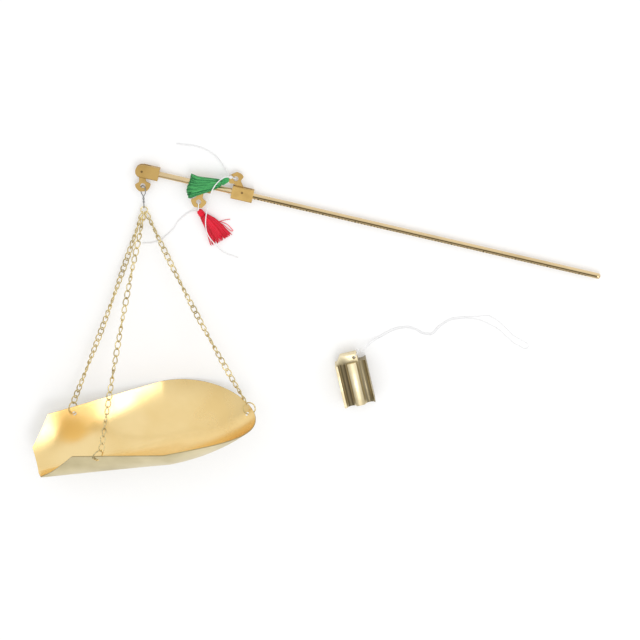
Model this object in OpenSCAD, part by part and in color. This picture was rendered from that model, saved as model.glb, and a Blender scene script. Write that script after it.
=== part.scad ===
// A small brass steelyard laid down on a table, as it is put away between uses.
// The beam lies along X with its scale running to +X. The origin is on the table,
// straight below the beam's own axis at the main fulcrum pin. Z is up.

/* [Beam] */
// Diameter of the beam's rod
rod_d = 3.8; // [3.2:0.1:4.2]
// From the load pin to the main fulcrum pin
load_arm = 67.4; // [60:0.5:75]
// From the main fulcrum pin to the second fulcrum pin
second_arm = 27; // [24:0.5:32]
// From the main fulcrum pin to the tip of the beam
scale_l = 245.8; // [200:0.2:280]
// Length of the rounded cap on the beam's tip
cap_l = 2.2; // [1.5:0.1:4]

/* [Clevises] */
// Thickness of a clevis block, which is the height of its top above the table
block_t = 6; // [5.4:0.1:7]
// Height of a clevis block across the beam
block_h = 8.6; // [8:0.1:10]
// Length of a fulcrum clevis along the beam
block_l = 14.4; // [13.6:0.1:17]
// Length of the load clevis behind its pin
load_back = 11.3; // [10:0.1:14]
// Bevel along the edges of a block
bevel = 0.45; // [0.2:0.05:0.8]
// Depth to which a rod is pressed into a block
rod_seat = 2.4; // [1.8:0.1:2.6]
// Main pin's height above the beam's axis
main_rise = 1.1; // [0.6:0.1:1.4]
// Second pin's depth below the beam's axis
second_drop = 2.2; // [1.6:0.1:2.3]
// Load pin's depth below the beam's axis
load_drop = 0.3; // [0:0.1:0.6]
// How far the load clevis's slot runs past its pin
load_slot = 5.4; // [5:0.1:6.2]
// Angle to each side to which a fulcrum hanger can swing in its slot
swing_room = 44; // [40:1:45]

/* [Pins and hangers] */
// Diameter of a pin
pin_d = 1.6; // [1.2:0.1:1.8]
// How far a pin's ends stop short of the block's faces
pin_recess = 0.35; // [0.2:0.05:0.6]
// Thickness of a hanger plate
plate_t = 1.5; // [1.2:0.1:1.8]
// From a hanger's pin to its hole
hanger_l = 9.8; // [9.2:0.1:11]
// Width of a hanger's neck
neck_w = 4.4; // [3.8:0.1:4.6]
// Width of a hanger across its two ears
ear_w = 10.2; // [9:0.1:12]
// Diameter of a hanger's hole
hole_d = 3.4; // [3.2:0.1:3.6]
// Running clearance of a hanger on its pin, on the radius
pin_gap = 0.05; // [0.03:0.01:0.1]
// Clearance of a hanger plate in its slot, on each side
slot_gap = 0.2; // [0.15:0.05:0.3]

/* [Chains and rings] */
// Wire of a chain link
link_wire = 0.8; // [0.7:0.05:0.85]
// Length of a chain link over its wire
link_l = 6.6; // [6.5:0.05:6.9]
// Width of a chain link over its wire
link_w = 4.2; // [4.1:0.05:4.6]
// Number of links in each chain
links = 33; // [31:1:36]
// Angle by which each end of a link is turned out of its middle
link_turn = 34; // [30:1:38]
// Wire of the ring that gathers the chains
top_ring_wire = 0.8; // [0.7:0.05:0.9]
// Diameter of that ring at the middle of its wire
top_ring_d = 4.5; // [4.4:0.1:5.2]
// Wire of a pan ring
pan_ring_wire = 0.9; // [0.8:0.05:1]
// Diameter of a pan ring at the middle of its wire
pan_ring_d = 8.1; // [7.8:0.1:8.6]
// Steel wire of the link between the load hanger and the chains
hook_wire = 0.75; // [0.6:0.05:0.8]

/* [Pan] */
// Length of the pan from its lip to its round back end
pan_l = 152; // [140:1:165]
// Half width of the pan near its front corners
front_half = 22; // [20:0.5:24]
// Half width of the pan where its round end begins
wide_half = 38.5; // [36:0.5:41]
// From the lip to where the round end begins
round_from = 92; // [86:1:98]
// Half width of the lip on its far side
lip_half = 13; // [11:0.5:15]
// Half width of the lip on its near side
near_lip_half = 9; // [7:0.5:12]
// How far the far corner is cut back from the lip
far_cut = 14; // [10:1:18]
// How far the near corner is cut back from the lip
near_cut = 32; // [26:1:38]
// Height of the walls at the front corners
front_wall = 32; // [28:0.5:34]
// Height of the walls where the round end begins
side_wall = 28.5; // [26:0.5:31]
// Height of the wall at the back end
back_wall = 13; // [11:0.5:16]
// How far the lip rises above the pan's floor
lip_rise = 1; // [0.5:0.1:3]
// Thickness of the sheet
sheet_t = 0.6; // [0.5:0.05:0.8]
// Diameter of the ring holes
ring_hole_d = 2.9; // [2.7:0.1:3]
// How far the ring holes lie inside the rim
hole_in = 4.8; // [4:0.1:5.4]
// From the lip to the near side's ring hole
near_hole_u = 47.5; // [44:0.5:54]
// From the lip to the far side's ring hole
far_hole_u = 31; // [28:0.5:36]
// Angle of the back end's ring hole round from the middle line
end_hole_a = 13; // [8:1:18]

/* [Poise] */
// Width of the poise
poise_w = 21.2; // [20:0.2:23]
// Length of the poise without its lug
poise_l = 30; // [27:0.5:33]
// Thickness of the poise at its middle rib
poise_t = 15; // [14:0.5:17]
// Radius of the flutes between its ribs
flute_r = 3.2; // [2.8:0.1:3.6]
// Length of the lug above the body
lug_l = 5.4; // [5:0.1:7]
// Thickness of the lug
lug_t = 4; // [3:0.1:5]

/* [Strings and tassels] */
// Diameter of the lifting strings
string_d = 0.75; // [0.6:0.05:0.8]
// Diameter of the poise's string
thread_d = 0.5; // [0.4:0.05:0.6]
// Width of a tassel at its cut end
tassel_w = 17; // [15:0.5:18]
// Diameter of a tassel's bound head
tassel_head_d = 4.6; // [4.2:0.1:5]
// Diameter of a knot
knot_d = 2.6; // [2.2:0.1:3]

/* [Hidden] */

brass = [0.78, 0.64, 0.36];
pale_brass = [0.9, 0.8, 0.55];
steel = [0.55, 0.56, 0.58];
white_cord = [0.93, 0.93, 0.92];
green_silk = [0.1, 0.6, 0.3];
red_silk = [0.9, 0.05, 0.15];

axis_z = block_t / 2;
rod_r = rod_d / 2;
spigot_d = rod_d - 0.4;
nose_r = block_h / 2;
load_x = -load_arm;
second_x = -second_arm;
main_back = -6.8;
main_front = main_back + block_l;
second_back = second_x - block_l / 2;
second_front = second_x + block_l / 2;
load_front = load_x + load_back;

load_pin_at = [load_x, -load_drop, 0];
main_pin_at = [0, main_rise, 0];
second_pin_at = [second_x, -second_drop, 0];
slot_t = plate_t + 2 * slot_gap;
eye_r = 2.6;
neck_gap = 0.2;

// The way each hanger points from its pin, as a turn from straight down the sheet
load_turn = 15.3;
main_turn = 217.2;
second_turn = 2.4;

function unit(v) = v / norm(v);
function turned(v, a) = [v[0] * cos(a) - v[1] * sin(a), v[0] * sin(a) + v[1] * cos(a), v[2]];
function flat_perp(c) = unit(cross([0, 0, 1], c));
function hanger_hole(pin, turn) = pin + turned([0, -hanger_l, 0], turn) + [0, 0, axis_z];
load_hole = hanger_hole(load_pin_at, load_turn);
main_hole = hanger_hole(main_pin_at, main_turn);
second_hole = hanger_hole(second_pin_at, second_turn);

// A tube of even thickness along a list of points
function way(p, i) = unit(p[min(i + 1, len(p) - 1)] - p[max(i - 1, 0)]);
function first_perp(t) = unit(cross(t, abs(t[2]) < 0.8 ? [0, 0, 1] : [1, 0, 0]));
function carry(n, t) = unit(n - (n * t) * t);
function normals(p, i = 0, n = undef) = i == len(p) ? [] :
    let (m = i == 0 ? first_perp(way(p, 0)) : carry(n, way(p, i)))
    concat([m], normals(p, i + 1, m));
function ring_at(c, n, b, r, sides) = [for (k = [0:sides - 1])
    c + r * (n * cos(360 * k / sides) + b * sin(360 * k / sides))];
module tube(p, r, sides) {
    n = normals(p);
    rings = [for (i = [0:len(p) - 1]) each ring_at(p[i], n[i], cross(way(p, i), n[i]), r, sides)];
    last = (len(p) - 1) * sides;
    walls = [for (i = [0:len(p) - 2], k = [0:sides - 1])
        let (a = i * sides + k, b = i * sides + (k + 1) % sides)
        each [[a, b, b + sides], [a, b + sides, a + sides]]];
    ends = [[for (k = [sides - 1:-1:0]) k], [for (k = [0:sides - 1]) last + k]];
    polyhedron(points = rings,
        faces = [for (f = concat(walls, ends)) [f[0], for (j = [len(f) - 1:-1:1]) f[j]]]);
}

// A smooth curve through four guide points, and even steps along it
function bezier(g, t) = pow(1 - t, 3) * g[0] + 3 * pow(1 - t, 2) * t * g[1]
    + 3 * (1 - t) * t * t * g[2] + pow(t, 3) * g[3];
function bezier_way(g, t) = unit(pow(1 - t, 2) * (g[1] - g[0])
    + 2 * (1 - t) * t * (g[2] - g[1]) + t * t * (g[3] - g[2]));
curve_steps = 60;
function lengths(g, k = 0, s = 0) = k > curve_steps ? [] :
    let (d = k == 0 ? 0 : norm(bezier(g, k / curve_steps) - bezier(g, (k - 1) / curve_steps)))
    concat([[s + d, k / curve_steps]], lengths(g, k + 1, s + d));

// The beam: three lengths of rod, turned down a little where they are pressed into the blocks
module rod(from, to, end_seat = rod_seat) {
    bite = 0.5;
    color(brass) translate([from, 0, axis_z]) rotate([0, 90, 0]) {
        cylinder(h = to - from, d = rod_d, $fn = 48);
        translate([0, 0, -rod_seat]) cylinder(h = rod_seat + bite, d = spigot_d, $fn = 48);
        if (end_seat > 0)
            translate([0, 0, to - from - bite]) cylinder(h = end_seat + bite, d = spigot_d, $fn = 48);
    }
}
module beam_rod_head() { rod(load_front, second_back); }
module beam_rod_middle() { rod(second_front, main_back); }
module beam_rod_scale() { rod(main_front, scale_l - cap_l, 0); }
module beam_tip_cap() {
    color(brass) translate([scale_l - cap_l, 0, axis_z]) rotate([0, 90, 0]) {
        cylinder(h = cap_l - rod_r / 2, r = rod_r, $fn = 48);
        translate([0, 0, cap_l - rod_r / 2])
            cylinder(h = rod_r / 2, r1 = rod_r, r2 = rod_r * 0.6, $fn = 48);
    }
}

// A clevis block: bevelled along its length, with a slot for the hanger's eye
module bevelled_bar(from, to) {
    h = block_h / 2;
    translate([from, 0, 0]) rotate([90, 0, 90]) linear_extrude(to - from) polygon([
        [-h + bevel, 0], [h - bevel, 0], [h, bevel], [h, block_t - bevel],
        [h - bevel, block_t], [-h + bevel, block_t], [-h, block_t - bevel], [-h, bevel]]);
}
module pin_bore(at) {
    translate([at[0], at[1], -1]) cylinder(h = block_t + 2, d = pin_d, $fn = 32);
}
module rod_bore(from) {
    translate([from, 0, axis_z]) rotate([0, 90, 0]) cylinder(h = rod_seat, d = spigot_d, $fn = 48);
}
module eye_slot(at, open_turn) {
    reach = block_h;
    w = neck_w / 2 + neck_gap;
    a = turned([w, 0, 0], -swing_room);
    b = turned([w, reach, 0], -swing_room);
    translate([at[0], at[1], axis_z - slot_t / 2]) rotate([0, 0, open_turn]) {
        cylinder(h = slot_t, r = eye_r + neck_gap, $fn = 48);
        linear_extrude(slot_t) polygon([[a[0], a[1]], [b[0], b[1]], [-b[0], b[1]], [-a[0], a[1]]]);
    }
}
module load_clevis() {
    color(brass) difference() {
        union() {
            bevelled_bar(load_x, load_front);
            intersection() {
                translate(load_pin_at) cylinder(h = block_t, r = nose_r, $fn = 64);
                bevelled_bar(load_x - nose_r, load_x);
            }
        }
        pin_bore(load_pin_at);
        translate([load_x - nose_r - 1, -block_h, axis_z - slot_t / 2])
            cube([nose_r + 1 + load_slot, 2 * block_h, slot_t]);
        rod_bore(load_front - rod_seat);
    }
}
module main_clevis() {
    color(brass) difference() {
        bevelled_bar(main_back, main_front);
        pin_bore(main_pin_at);
        eye_slot(main_pin_at, 0);
        rod_bore(main_back);
        rod_bore(main_front - rod_seat);
    }
}
module second_clevis() {
    color(brass) difference() {
        bevelled_bar(second_back, second_front);
        pin_bore(second_pin_at);
        eye_slot(second_pin_at, 180);
        rod_bore(second_back);
        rod_bore(second_front - rod_seat);
    }
}
module pin(at) {
    color(steel) translate([at[0], at[1], pin_recess])
        cylinder(h = block_t - 2 * pin_recess, d = pin_d, $fn = 32);
}
module load_pin() { pin(load_pin_at); }
module main_pin() { pin(main_pin_at); }
module second_pin() { pin(second_pin_at); }

// A hanger plate: an eye round the pin, a neck, two ears and a rounded end with a hole
function hanger_side(s) = [for (p = [[neck_w / 2, 0], [neck_w / 2, 2.9 - hanger_l],
    [ear_w * 0.29, 2.2 - hanger_l], [ear_w * 0.4, 1.6 - hanger_l], [ear_w * 0.49, 1.1 - hanger_l],
    [ear_w * 0.5, 0.5 - hanger_l], [ear_w * 0.48, -0.6 - hanger_l], [ear_w * 0.4, -2 - hanger_l],
    [ear_w * 0.32, -3 - hanger_l], [ear_w * 0.22, -3.8 - hanger_l]]) [s * p[0], p[1]]];
function reversed(l) = [for (i = [len(l) - 1:-1:0]) l[i]];
module hanger(at, turn) {
    color(brass) translate([at[0], at[1], axis_z - plate_t / 2]) rotate([0, 0, turn]) difference() {
        union() {
            cylinder(h = plate_t, r = eye_r, $fn = 48);
            linear_extrude(plate_t) polygon(concat(hanger_side(-1), reversed(hanger_side(1))));
        }
        translate([0, 0, -1]) cylinder(h = plate_t + 2, r = pin_d / 2 + pin_gap, $fn = 32);
        translate([0, -hanger_l, -1]) cylinder(h = plate_t + 2, d = hole_d, $fn = 48);
    }
}
module load_hanger() { hanger(load_pin_at, load_turn); }
module main_hanger() { hanger(main_pin_at, main_turn); }
module second_hanger() { hanger(second_pin_at, second_turn); }

// The steel wire link: one wire bent through the load hanger's hole, its two legs
// twisted together, and its end bent into an eye round the top ring
top_ring_at = [-60.6, -25.7, axis_z];
top_ring_r = top_ring_d / 2;
hook_aim = unit(top_ring_at - load_hole);
hook_loop_r = 2.2;
hook_tilt = 42;
hook_straight = 4.4;
hook_leg = 7.2;
hook_eye_r = 1.35;
hook_slack = 0.06;
hook_twist_r = hook_wire / 2 + 0.05;
hook_turns = 408;
hook_eye_at = norm(top_ring_at - load_hole) - top_ring_r - hook_eye_r
    + hook_wire / 2 + top_ring_wire / 2 + hook_slack;
hook_twist_end = hook_eye_at - hook_eye_r - 0.25;
module wire_link() {
    s = flat_perp(hook_aim);
    function at(x, a, r) = load_hole + hook_aim * x + r * (s * cos(a) + [0, 0, sin(a)]);
    function strand(a0, cut) = [for (k = [0:14 - cut]) at(hook_leg + (hook_twist_end - hook_leg) * k / 14,
        a0 + hook_turns * k / 14, hook_twist_r)];
    function leg(a) = [at(hook_straight, a, hook_loop_r), at(hook_straight + 0.9, a, hook_loop_r * 0.86),
        at(hook_leg - 1, a, hook_loop_r * 0.42)];
    eye = [for (k = [0:12]) let (a = -154 + 308 * k / 12)
        load_hole + hook_aim * (hook_eye_at + hook_eye_r * cos(a)) + [0, 0, hook_eye_r * sin(a)]];
    arc = [for (k = [0:10]) let (a = 90 - 18 * k)
        at(hook_loop_r - hook_loop_r * cos(a), hook_tilt, hook_loop_r * sin(a))];
    color(steel) tube(concat(eye, reversed(strand(hook_tilt, 0)), reversed(leg(hook_tilt)), arc,
        leg(hook_tilt + 180), strand(hook_tilt + 180, 1)), hook_wire / 2, 6);
}
// A true round ring of wire, whose plane has the normal n
module round_ring(at, n, r, wire_d) {
    translate(at) rotate([0, acos(n[2] / norm(n)), atan2(n[1], n[0])])
        rotate_extrude($fn = 48) translate([r, 0]) circle(d = wire_d, $fn = 24);
}
module chain_top_ring() {
    color(pale_brass) round_ring(top_ring_at, [0, 0, 1], top_ring_r, top_ring_wire);
}

// The pan's own frame: u from the lip to the back, v to the far wall, w out of its floor
pan_roll = -67.6;
near_skew = 3.5;
far_skew = 1.5;
pan_yaw = 24.5;
function pan_dir(p) = let (y = p[1] * cos(pan_roll) - p[2] * sin(pan_roll))
    [p[0] * cos(pan_yaw) - y * sin(pan_yaw), p[0] * sin(pan_yaw) + y * cos(pan_yaw),
    p[1] * sin(pan_roll) + p[2] * cos(pan_roll)];
lip_ref = 16;
wall_power = 2.7;
function half_at(u) = front_half + (wide_half - front_half) * (u - lip_ref) / (round_from - lip_ref);
function cut_of(side) = side > 0 ? far_cut : near_cut;
function span_at(u, side) = let (c = cut_of(side), lip = side > 0 ? lip_half : near_lip_half)
    u < c ? (lip + (half_at(c) - lip) * u / c) / half_at(u) : 1;
function skew_at(u, side) = (side > 0 ? -far_skew : near_skew) * max(0, 1 - u / cut_of(side));
function floor_at(u) = lip_rise * pow(max(0, 1 - u / round_from), 2);
function wall_at(u) = front_wall + (side_wall - front_wall) * (u - lip_ref) / (round_from - lip_ref);
function side_point(u, side, r) = let (p = r * span_at(u, side), f = floor_at(u))
    [u + skew_at(u, side) * r, side * half_at(u) * p, f + (wall_at(u) - f) * pow(p, wall_power)];
function back_point(a, r) = let (h = side_wall + (back_wall - side_wall) * pow(cos(a), 2))
    [round_from + r * (pan_l - round_from) * cos(a), r * wide_half * sin(a), h * pow(r, wall_power)];

// Columns run along the rim from the near lip corner, round the back, to the far lip corner
stops = [0, far_cut / 2, far_cut, (far_cut + near_cut) / 2, near_cut,
    (near_cut * 2 + round_from) / 3, (near_cut + 2 * round_from) / 3];
back_count = 16;
side_n = len(stops);
columns = 2 * side_n + back_count + 1;
radii = [0.3, 0.52, 0.68, 0.8, 0.89, 0.95, 1];
rows = len(radii);
tiny = 0.02;
function back_turn(c) = -90 + 180 * (c - side_n) / back_count;
function is_near(c) = c < side_n;
function is_back(c) = c >= side_n && c <= side_n + back_count;
function pan_point(c, r, e = 0) = is_near(c) ? side_point(stops[c] + e, -1, r)
    : is_back(c) ? back_point(back_turn(c) + e, r) : side_point(stops[columns - 1 - c] - e, 1, r);
function pan_edge(c, r) = let (lip = !is_back(c) && (is_near(c) ? c : columns - 1 - c) == 0)
    is_near(c) || (is_back(c)) ? pan_point(c, r, tiny) - pan_point(c, r)
    : lip ? pan_point(c, r) - pan_point(c, r, -tiny) : pan_point(c, r, tiny) - pan_point(c, r);
function pan_normal(c, r) = unit(cross(pan_point(c, r) - pan_point(c, r - tiny), pan_edge(c, r)));
function out_point(c, r) = pan_point(c, r) - sheet_t * pan_normal(c, r);
function spine(k) = k < side_n ? [stops[k], 0, floor_at(stops[k])] : [round_from, 0, 0];
spine_n = side_n + 1;
inner_skin = concat([for (k = [0:side_n]) spine(k)],
    [for (r = radii, c = [0:columns - 1]) pan_point(c, r)]);
outer_skin = concat([for (k = [0:side_n]) spine(k) - [0, 0, sheet_t]],
    [for (r = radii, c = [0:columns - 1]) out_point(c, r)]);
pan_low = min([for (p = outer_skin) pan_dir(p)[2]]);
pan_at = [-91.2, -215.2, -pan_low];
function in_part(p) = pan_at + pan_dir(p);
function spot(j, c) = j > 0 ? spine_n + (j - 1) * columns + c
    : is_near(c) ? c : is_back(c) ? side_n : columns - 1 - c;
module pan_shell() {
    skin = len(inner_skin);
    sheet = [for (j = [0:rows - 1], c = [0:columns - 2])
        let (a = spot(j, c), b = spot(j, c + 1), d = spot(j + 1, c + 1), e = spot(j + 1, c))
        each a == b ? [[a, d, e]] : [[a, b, d], [a, d, e]]];
    back = [for (f = sheet) [f[0] + skin, f[2] + skin, f[1] + skin]];
    rim = [for (c = [0:columns - 2]) let (a = spot(rows, c), b = spot(rows, c + 1))
        each [[a, b, b + skin], [a, b + skin, a + skin]]];
    near_lip = [for (j = [0:rows - 1]) let (a = spot(j, 0), b = spot(j + 1, 0))
        each [[a, b, b + skin], [a, b + skin, a + skin]]];
    far_lip = [for (j = [0:rows - 1]) let (a = spot(j, columns - 1), b = spot(j + 1, columns - 1))
        each [[b, a, a + skin], [b, a + skin, b + skin]]];
    polyhedron(points = concat(inner_skin, outer_skin),
        faces = concat(sheet, back, rim, near_lip, far_lip));
}

// A ring hole: where it is, the way up to the rim, the sheet's normal and the way along the rim
near_hole = [-1, near_hole_u];
far_hole = [1, far_hole_u];
end_hole = [0, end_hole_a];
function surf(h, r, e = 0) = h[0] == 0 ? back_point(h[1] + e, r) : side_point(h[1] + e, h[0], r);
function hole_r(h) = 1 - 0.05 * hole_in / norm(surf(h, 1) - surf(h, 0.95));
function hole_up(h) = unit(surf(h, 1) - surf(h, hole_r(h)));
function hole_normal(h) = unit(cross(hole_up(h), surf(h, hole_r(h), 0.1) - surf(h, hole_r(h))));
module hole_cut(h) {
    n = hole_normal(h);
    translate(surf(h, hole_r(h))) rotate([0, acos(n[2]), atan2(n[1], n[0])])
        translate([0, 0, -4]) cylinder(h = 8, d = ring_hole_d, $fn = 16);
}
module scoop_pan() {
    color(pale_brass) translate(pan_at) rotate([pan_roll, 0, pan_yaw]) difference() {
        pan_shell();
        hole_cut(near_hole);
        hole_cut(far_hole);
        hole_cut(end_hole);
    }
}

// The pan rings: through the hole and over the rim, turned halfway out of the sheet
pan_ring_r = pan_ring_d / 2;
function hole_at(h) = in_part(surf(h, hole_r(h)));
function toward(v, w) = v * w < 0 ? -v : v;
function to_top(p) = unit(top_ring_at - p);
function ring_side(h) = let (w = to_top(hole_at(h)), n = pan_dir(hole_normal(h)), e = pan_dir(hole_up(h)))
    unit(toward(n, w) + toward(cross(n, e), w));
function ring_middle(h, lean) = hole_at(h)
    + pan_ring_r * (pan_dir(hole_up(h)) * cos(lean) + ring_side(h) * sin(lean));
function ring_normal(h) = cross(pan_dir(hole_up(h)), ring_side(h));
function ring_hold(h, lean) = let (c = ring_middle(h, lean), n = ring_normal(h), w = to_top(c))
    c + pan_ring_r * unit(w - (w * n) * n);
near_lean = 25;
far_lean = 0;
end_lean = 25;
module pan_ring(h, lean) {
    color(pale_brass) round_ring(ring_middle(h, lean), ring_normal(h), pan_ring_r, pan_ring_wire);
}
module pan_ring_near() { pan_ring(near_hole, near_lean); }
module pan_ring_far() { pan_ring(far_hole, far_lean); }
module pan_ring_end() { pan_ring(end_hole, end_lean); }

// One curb link: an oval of wire with its two ends turned opposite ways round its length
link_steps = 10;
link_sides = 4;
function link_mid(a) = let (f = link_turn * cos(a), y = (link_w - link_wire) / 2 * sin(a))
    [(link_l - link_wire) / 2 * cos(a), y * cos(f), y * sin(f)];
function link_out(a) = let (f = link_turn * cos(a), y = (link_l - link_wire) * sin(a))
    unit([(link_w - link_wire) * cos(a), y * cos(f), y * sin(f)]);
link_points = [for (i = [0:link_steps - 1]) let (a = 360 * i / link_steps,
    t = unit(link_mid(a + 1) - link_mid(a - 1)), n = unit(cross(t, link_out(a))))
    each ring_at(link_mid(a), cross(n, t), n, link_wire / 2, link_sides)];
link_faces = [for (i = [0:link_steps - 1], k = [0:link_sides - 1])
    let (j = (i + 1) % link_steps, m = (k + 1) % link_sides)
    each [[i * link_sides + k, i * link_sides + m, j * link_sides + m],
        [i * link_sides + k, j * link_sides + m, j * link_sides + k]]];

// A chain: links at even steps along a curve, each turned a little from the one before,
// so that its first link hangs on the top ring and its last one on the pan ring
link_hold = link_l / 2 - link_wire;
end_slack = 0.12;
near_bow = 2.4;
far_bow = -1.6;
end_bow = 3.3;
function chain_start(turn) = top_ring_at + top_ring_r * [cos(turn), sin(turn), 0];
function chain_guides(from, to, low, high, bow) = let (v = (to - from) / 3, aside = flat_perp(v) * bow)
    [from, from + [v[0], v[1], v[2] * low] - aside, to - [v[0], v[1], v[2] * high] - aside, to];
module chain(turn, hold, ring_n, low, high, bow, half_turns) {
    g = chain_guides(chain_start(turn), hold, low, high, bow);
    table = lengths(g);
    whole = table[curve_steps][0];
    first = link_hold - top_ring_wire / 2 - end_slack;
    last = whole - link_hold + pan_ring_wire / 2 + end_slack;
    n = max(links, ceil((last - first) / (link_l - 2 * link_wire - 0.05)) + 1);
    end_way = bezier_way(g, 1);
    side = flat_perp(end_way);
    start_turn = 90 + link_turn;
    end_turn = atan2(ring_n * cross(end_way, side), ring_n * side) - link_turn;
    twist = ((end_turn - start_turn) % 180 + 180) % 180 - 180 * half_turns;
    color(pale_brass) for (i = [0:n - 1]) {
        s = lookup(first + (last - first) * i / (n - 1), table);
        x = bezier_way(g, s);
        f = start_turn + twist * i / (n - 1);
        y = flat_perp(x) * cos(f) + cross(x, flat_perp(x)) * sin(f);
        z = cross(x, y);
        c = bezier(g, s);
        polyhedron(points = [for (p = link_points) c + p[0] * x + p[1] * y + p[2] * z], faces = link_faces);
    }
}
module chain_near() {
    chain(-74, ring_hold(near_hole, near_lean), ring_normal(near_hole), 0.9, 1.1, near_bow, 5);
}
module chain_far() {
    chain(-114, ring_hold(far_hole, far_lean), ring_normal(far_hole), 0.05, 1.4, far_bow, 3);
}
module chain_end() {
    chain(-35, ring_hold(end_hole, end_lean), ring_normal(end_hole), 0.2, 1.4, end_bow, 4);
}

// A string tied through a hanger's hole: out over the plate, round its edge and back below it
module hanger_loop(hole, aim, edge, start, finish) {
    top = plate_t / 2 + 0.3 + string_d / 2;
    far = edge + 0.7 + string_d / 2;
    inner = [[far - 0.2, 0.6 - top], [far - 1, -top], [far / 2, -top - 0.05], [0.9, -top], [0.15, 0.6 - top],
        [0, 0], [0.15, top - 0.5], [0.9, top], [1.8, top + 0.15]];
    color(white_cord) tube([for (p = concat(start, inner, finish)) hole + aim * p[0] + [0, 0, p[1]]],
        string_d / 2, 8);
}
// A bound head: a rounded top, a neck of threads and a band wound round it
module head(at, to, d, silk) {
    v = to - at;
    color(silk) translate(at) rotate([0, acos(v[2] / norm(v)), atan2(v[1], v[0])]) {
        sphere(d = d * 0.94, $fn = 32);
        cylinder(h = norm(v), d = d * 0.88, $fn = 32);
        translate([0, 0, norm(v) * 0.3]) cylinder(h = norm(v) * 0.4, d = d, $fn = 32);
    }
}
// A tassel's threads, laid out as a fan: rows of [one edge, other edge, height, half thickness]
tassel_sides = 20;
module fan(sections, silk) {
    last = (len(sections) - 1) * tassel_sides;
    points = [for (q = sections) let (m = (q[0] + q[1]) / 2, h = (q[1] - q[0]) / 2)
        for (k = [0:tassel_sides - 1]) let (a = 360 * k / tassel_sides, bump = k % 2 == 0 ? 1 : 0.88)
            [m[0], m[1], q[2]] + [h[0], h[1], 0] * cos(a) + [0, 0, q[3] * sin(a) * bump]];
    walls = [for (i = [0:len(sections) - 2], k = [0:tassel_sides - 1])
        let (a = i * tassel_sides + k, b = i * tassel_sides + (k + 1) % tassel_sides)
        each [[a, b, b + tassel_sides], [a, b + tassel_sides, a + tassel_sides]]];
    color(silk) polyhedron(points = points, faces = concat(walls,
        [[for (k = [tassel_sides - 1:-1:0]) k], [for (k = [0:tassel_sides - 1]) last + k]]));
}
function spread(p, q, w) = let (m = (p + q) / 2, h = unit(q - p) * w / 2) [m - h, m + h];

// The green tassel on the main hanger, lying across the beam and the second clevis
green_aim = unit([-3.6, 0.7, 0]);
green_knot_at = main_hole + green_aim * 3.5 + [0, 0, plate_t / 2 + 1.5];
module green_string_loop() {
    hanger_loop(main_hole, green_aim, 4.5, [[3.9, 1.5 + plate_t / 2], [5, 1.1 + plate_t / 2], [5.3, 0.3]],
        [[3, 2 + plate_t / 2]]);
}
module green_knot() { color(white_cord) translate(green_knot_at) sphere(d = knot_d, $fn = 24); }
green_head_at = [-12.1, 7.1, 5.7];
green_head_to = [-15.4, 4.7, 8];
module green_tassel_head() { head(green_head_at, green_head_to, tassel_head_d, green_silk); }
green_rise = block_t + 0.3;
green_cut = spread([-35.4, 6.9], [-33, -10.8], tassel_w + 0.6);
module green_tassel() {
    fan([[[-15.1, 6.8], [-14.2, 2.9], green_rise + 2.1, 1.9], [[-17.4, 7], [-17.3, 0.1], green_rise + 2, 1.9],
        [[-21, 6.7], [-21.4, -2.8], green_rise + 1.8, 1.75],
        [[-25.8, 6.2], [-26.2, -5.8], green_rise + 1.6, 1.55],
        [[-30.6, 5.8], [-30.2, -8.5], green_rise + 1.5, 1.45],
        [green_cut[0], green_cut[1], green_rise + 1.4, 1.35]],
        green_silk);
}
green_end_route = [[-10.6, 10.2, 4.6], [-11.8, 10.9, 3.2], [-13, 12.2, 1.6], [-14.6, 13.8, 0.7],
    [-18.1, 17.2, 0.4], [-23, 20.6, 0.4], [-29.7, 22.8, 0.4], [-36.8, 23.6, 0.4],
    [-43.5, 22.9, 0.4], [-49.2, 22.3, 0.4]];
green_tail_route = [[-9.9, 9.4, 6], [-11.2, 9.6, 7], [-13.2, 9.2, 8.4], [-15, 7.9, 9.9], [-16.6, 6, 10.8],
    [-18.4, 2.6, 10.9], [-19.6, -1.6, 10.3], [-20, -6, 8.9], [-20.1, -11.3, 7], [-19.9, -16.1, 6],
    [-19.7, -20, 6.1], [-19.1, -24, 5.9], [-17.8, -28.6, 5.1], [-16, -31.8, 4.8], [-12.5, -35.4, 4.1],
    [-8.5, -38.3, 3.5], [-5.2, -40.8, 2.3], [-2, -42.4, 0.9], [3, -43.2, 0.4], [7.3, -43.6, 0.4]];
module green_string_end() { color(white_cord) tube(green_end_route, string_d / 2, 8); }
module green_string_tail() { color(white_cord) tube(green_tail_route, string_d / 2, 8); }

// The red tassel on the second hanger, lying on the table
red_aim = unit([0.2, -1, 0]);
red_knot_at = second_hole + red_aim * 5.9 + [0, 0, -0.7];
module red_string_loop() {
    hanger_loop(second_hole, red_aim, 3.8, [[5.9, -1.1]], [[3.9, 1.45], [5.6, 0.3]]);
}
module red_knot() { color(white_cord) translate(red_knot_at) sphere(d = knot_d, $fn = 24); }
red_head_at = [-24.1, -18.6, 2.3];
red_head_to = [-21.6, -20.8, 2.3];
module red_tassel_head() { head(red_head_at, red_head_to, tassel_head_d, red_silk); }
red_cut = spread([-13, -39.6], [-1.2, -28.4], tassel_w);
module red_tassel() {
    fan([[[-23.6, -22.4], [-20.1, -18.6], 2.3, 2], [[-22.2, -24.8], [-16.8, -19.4], 2.25, 2.1],
        [[-20, -28], [-13.2, -20.6], 2.2, 2.1], [[-17.6, -32], [-8.9, -23], 2, 1.9],
        [[-15.2, -35.8], [-5, -25.7], 1.75, 1.65], [red_cut[0], red_cut[1], 1.5, 1.4]], red_silk);
}
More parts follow.
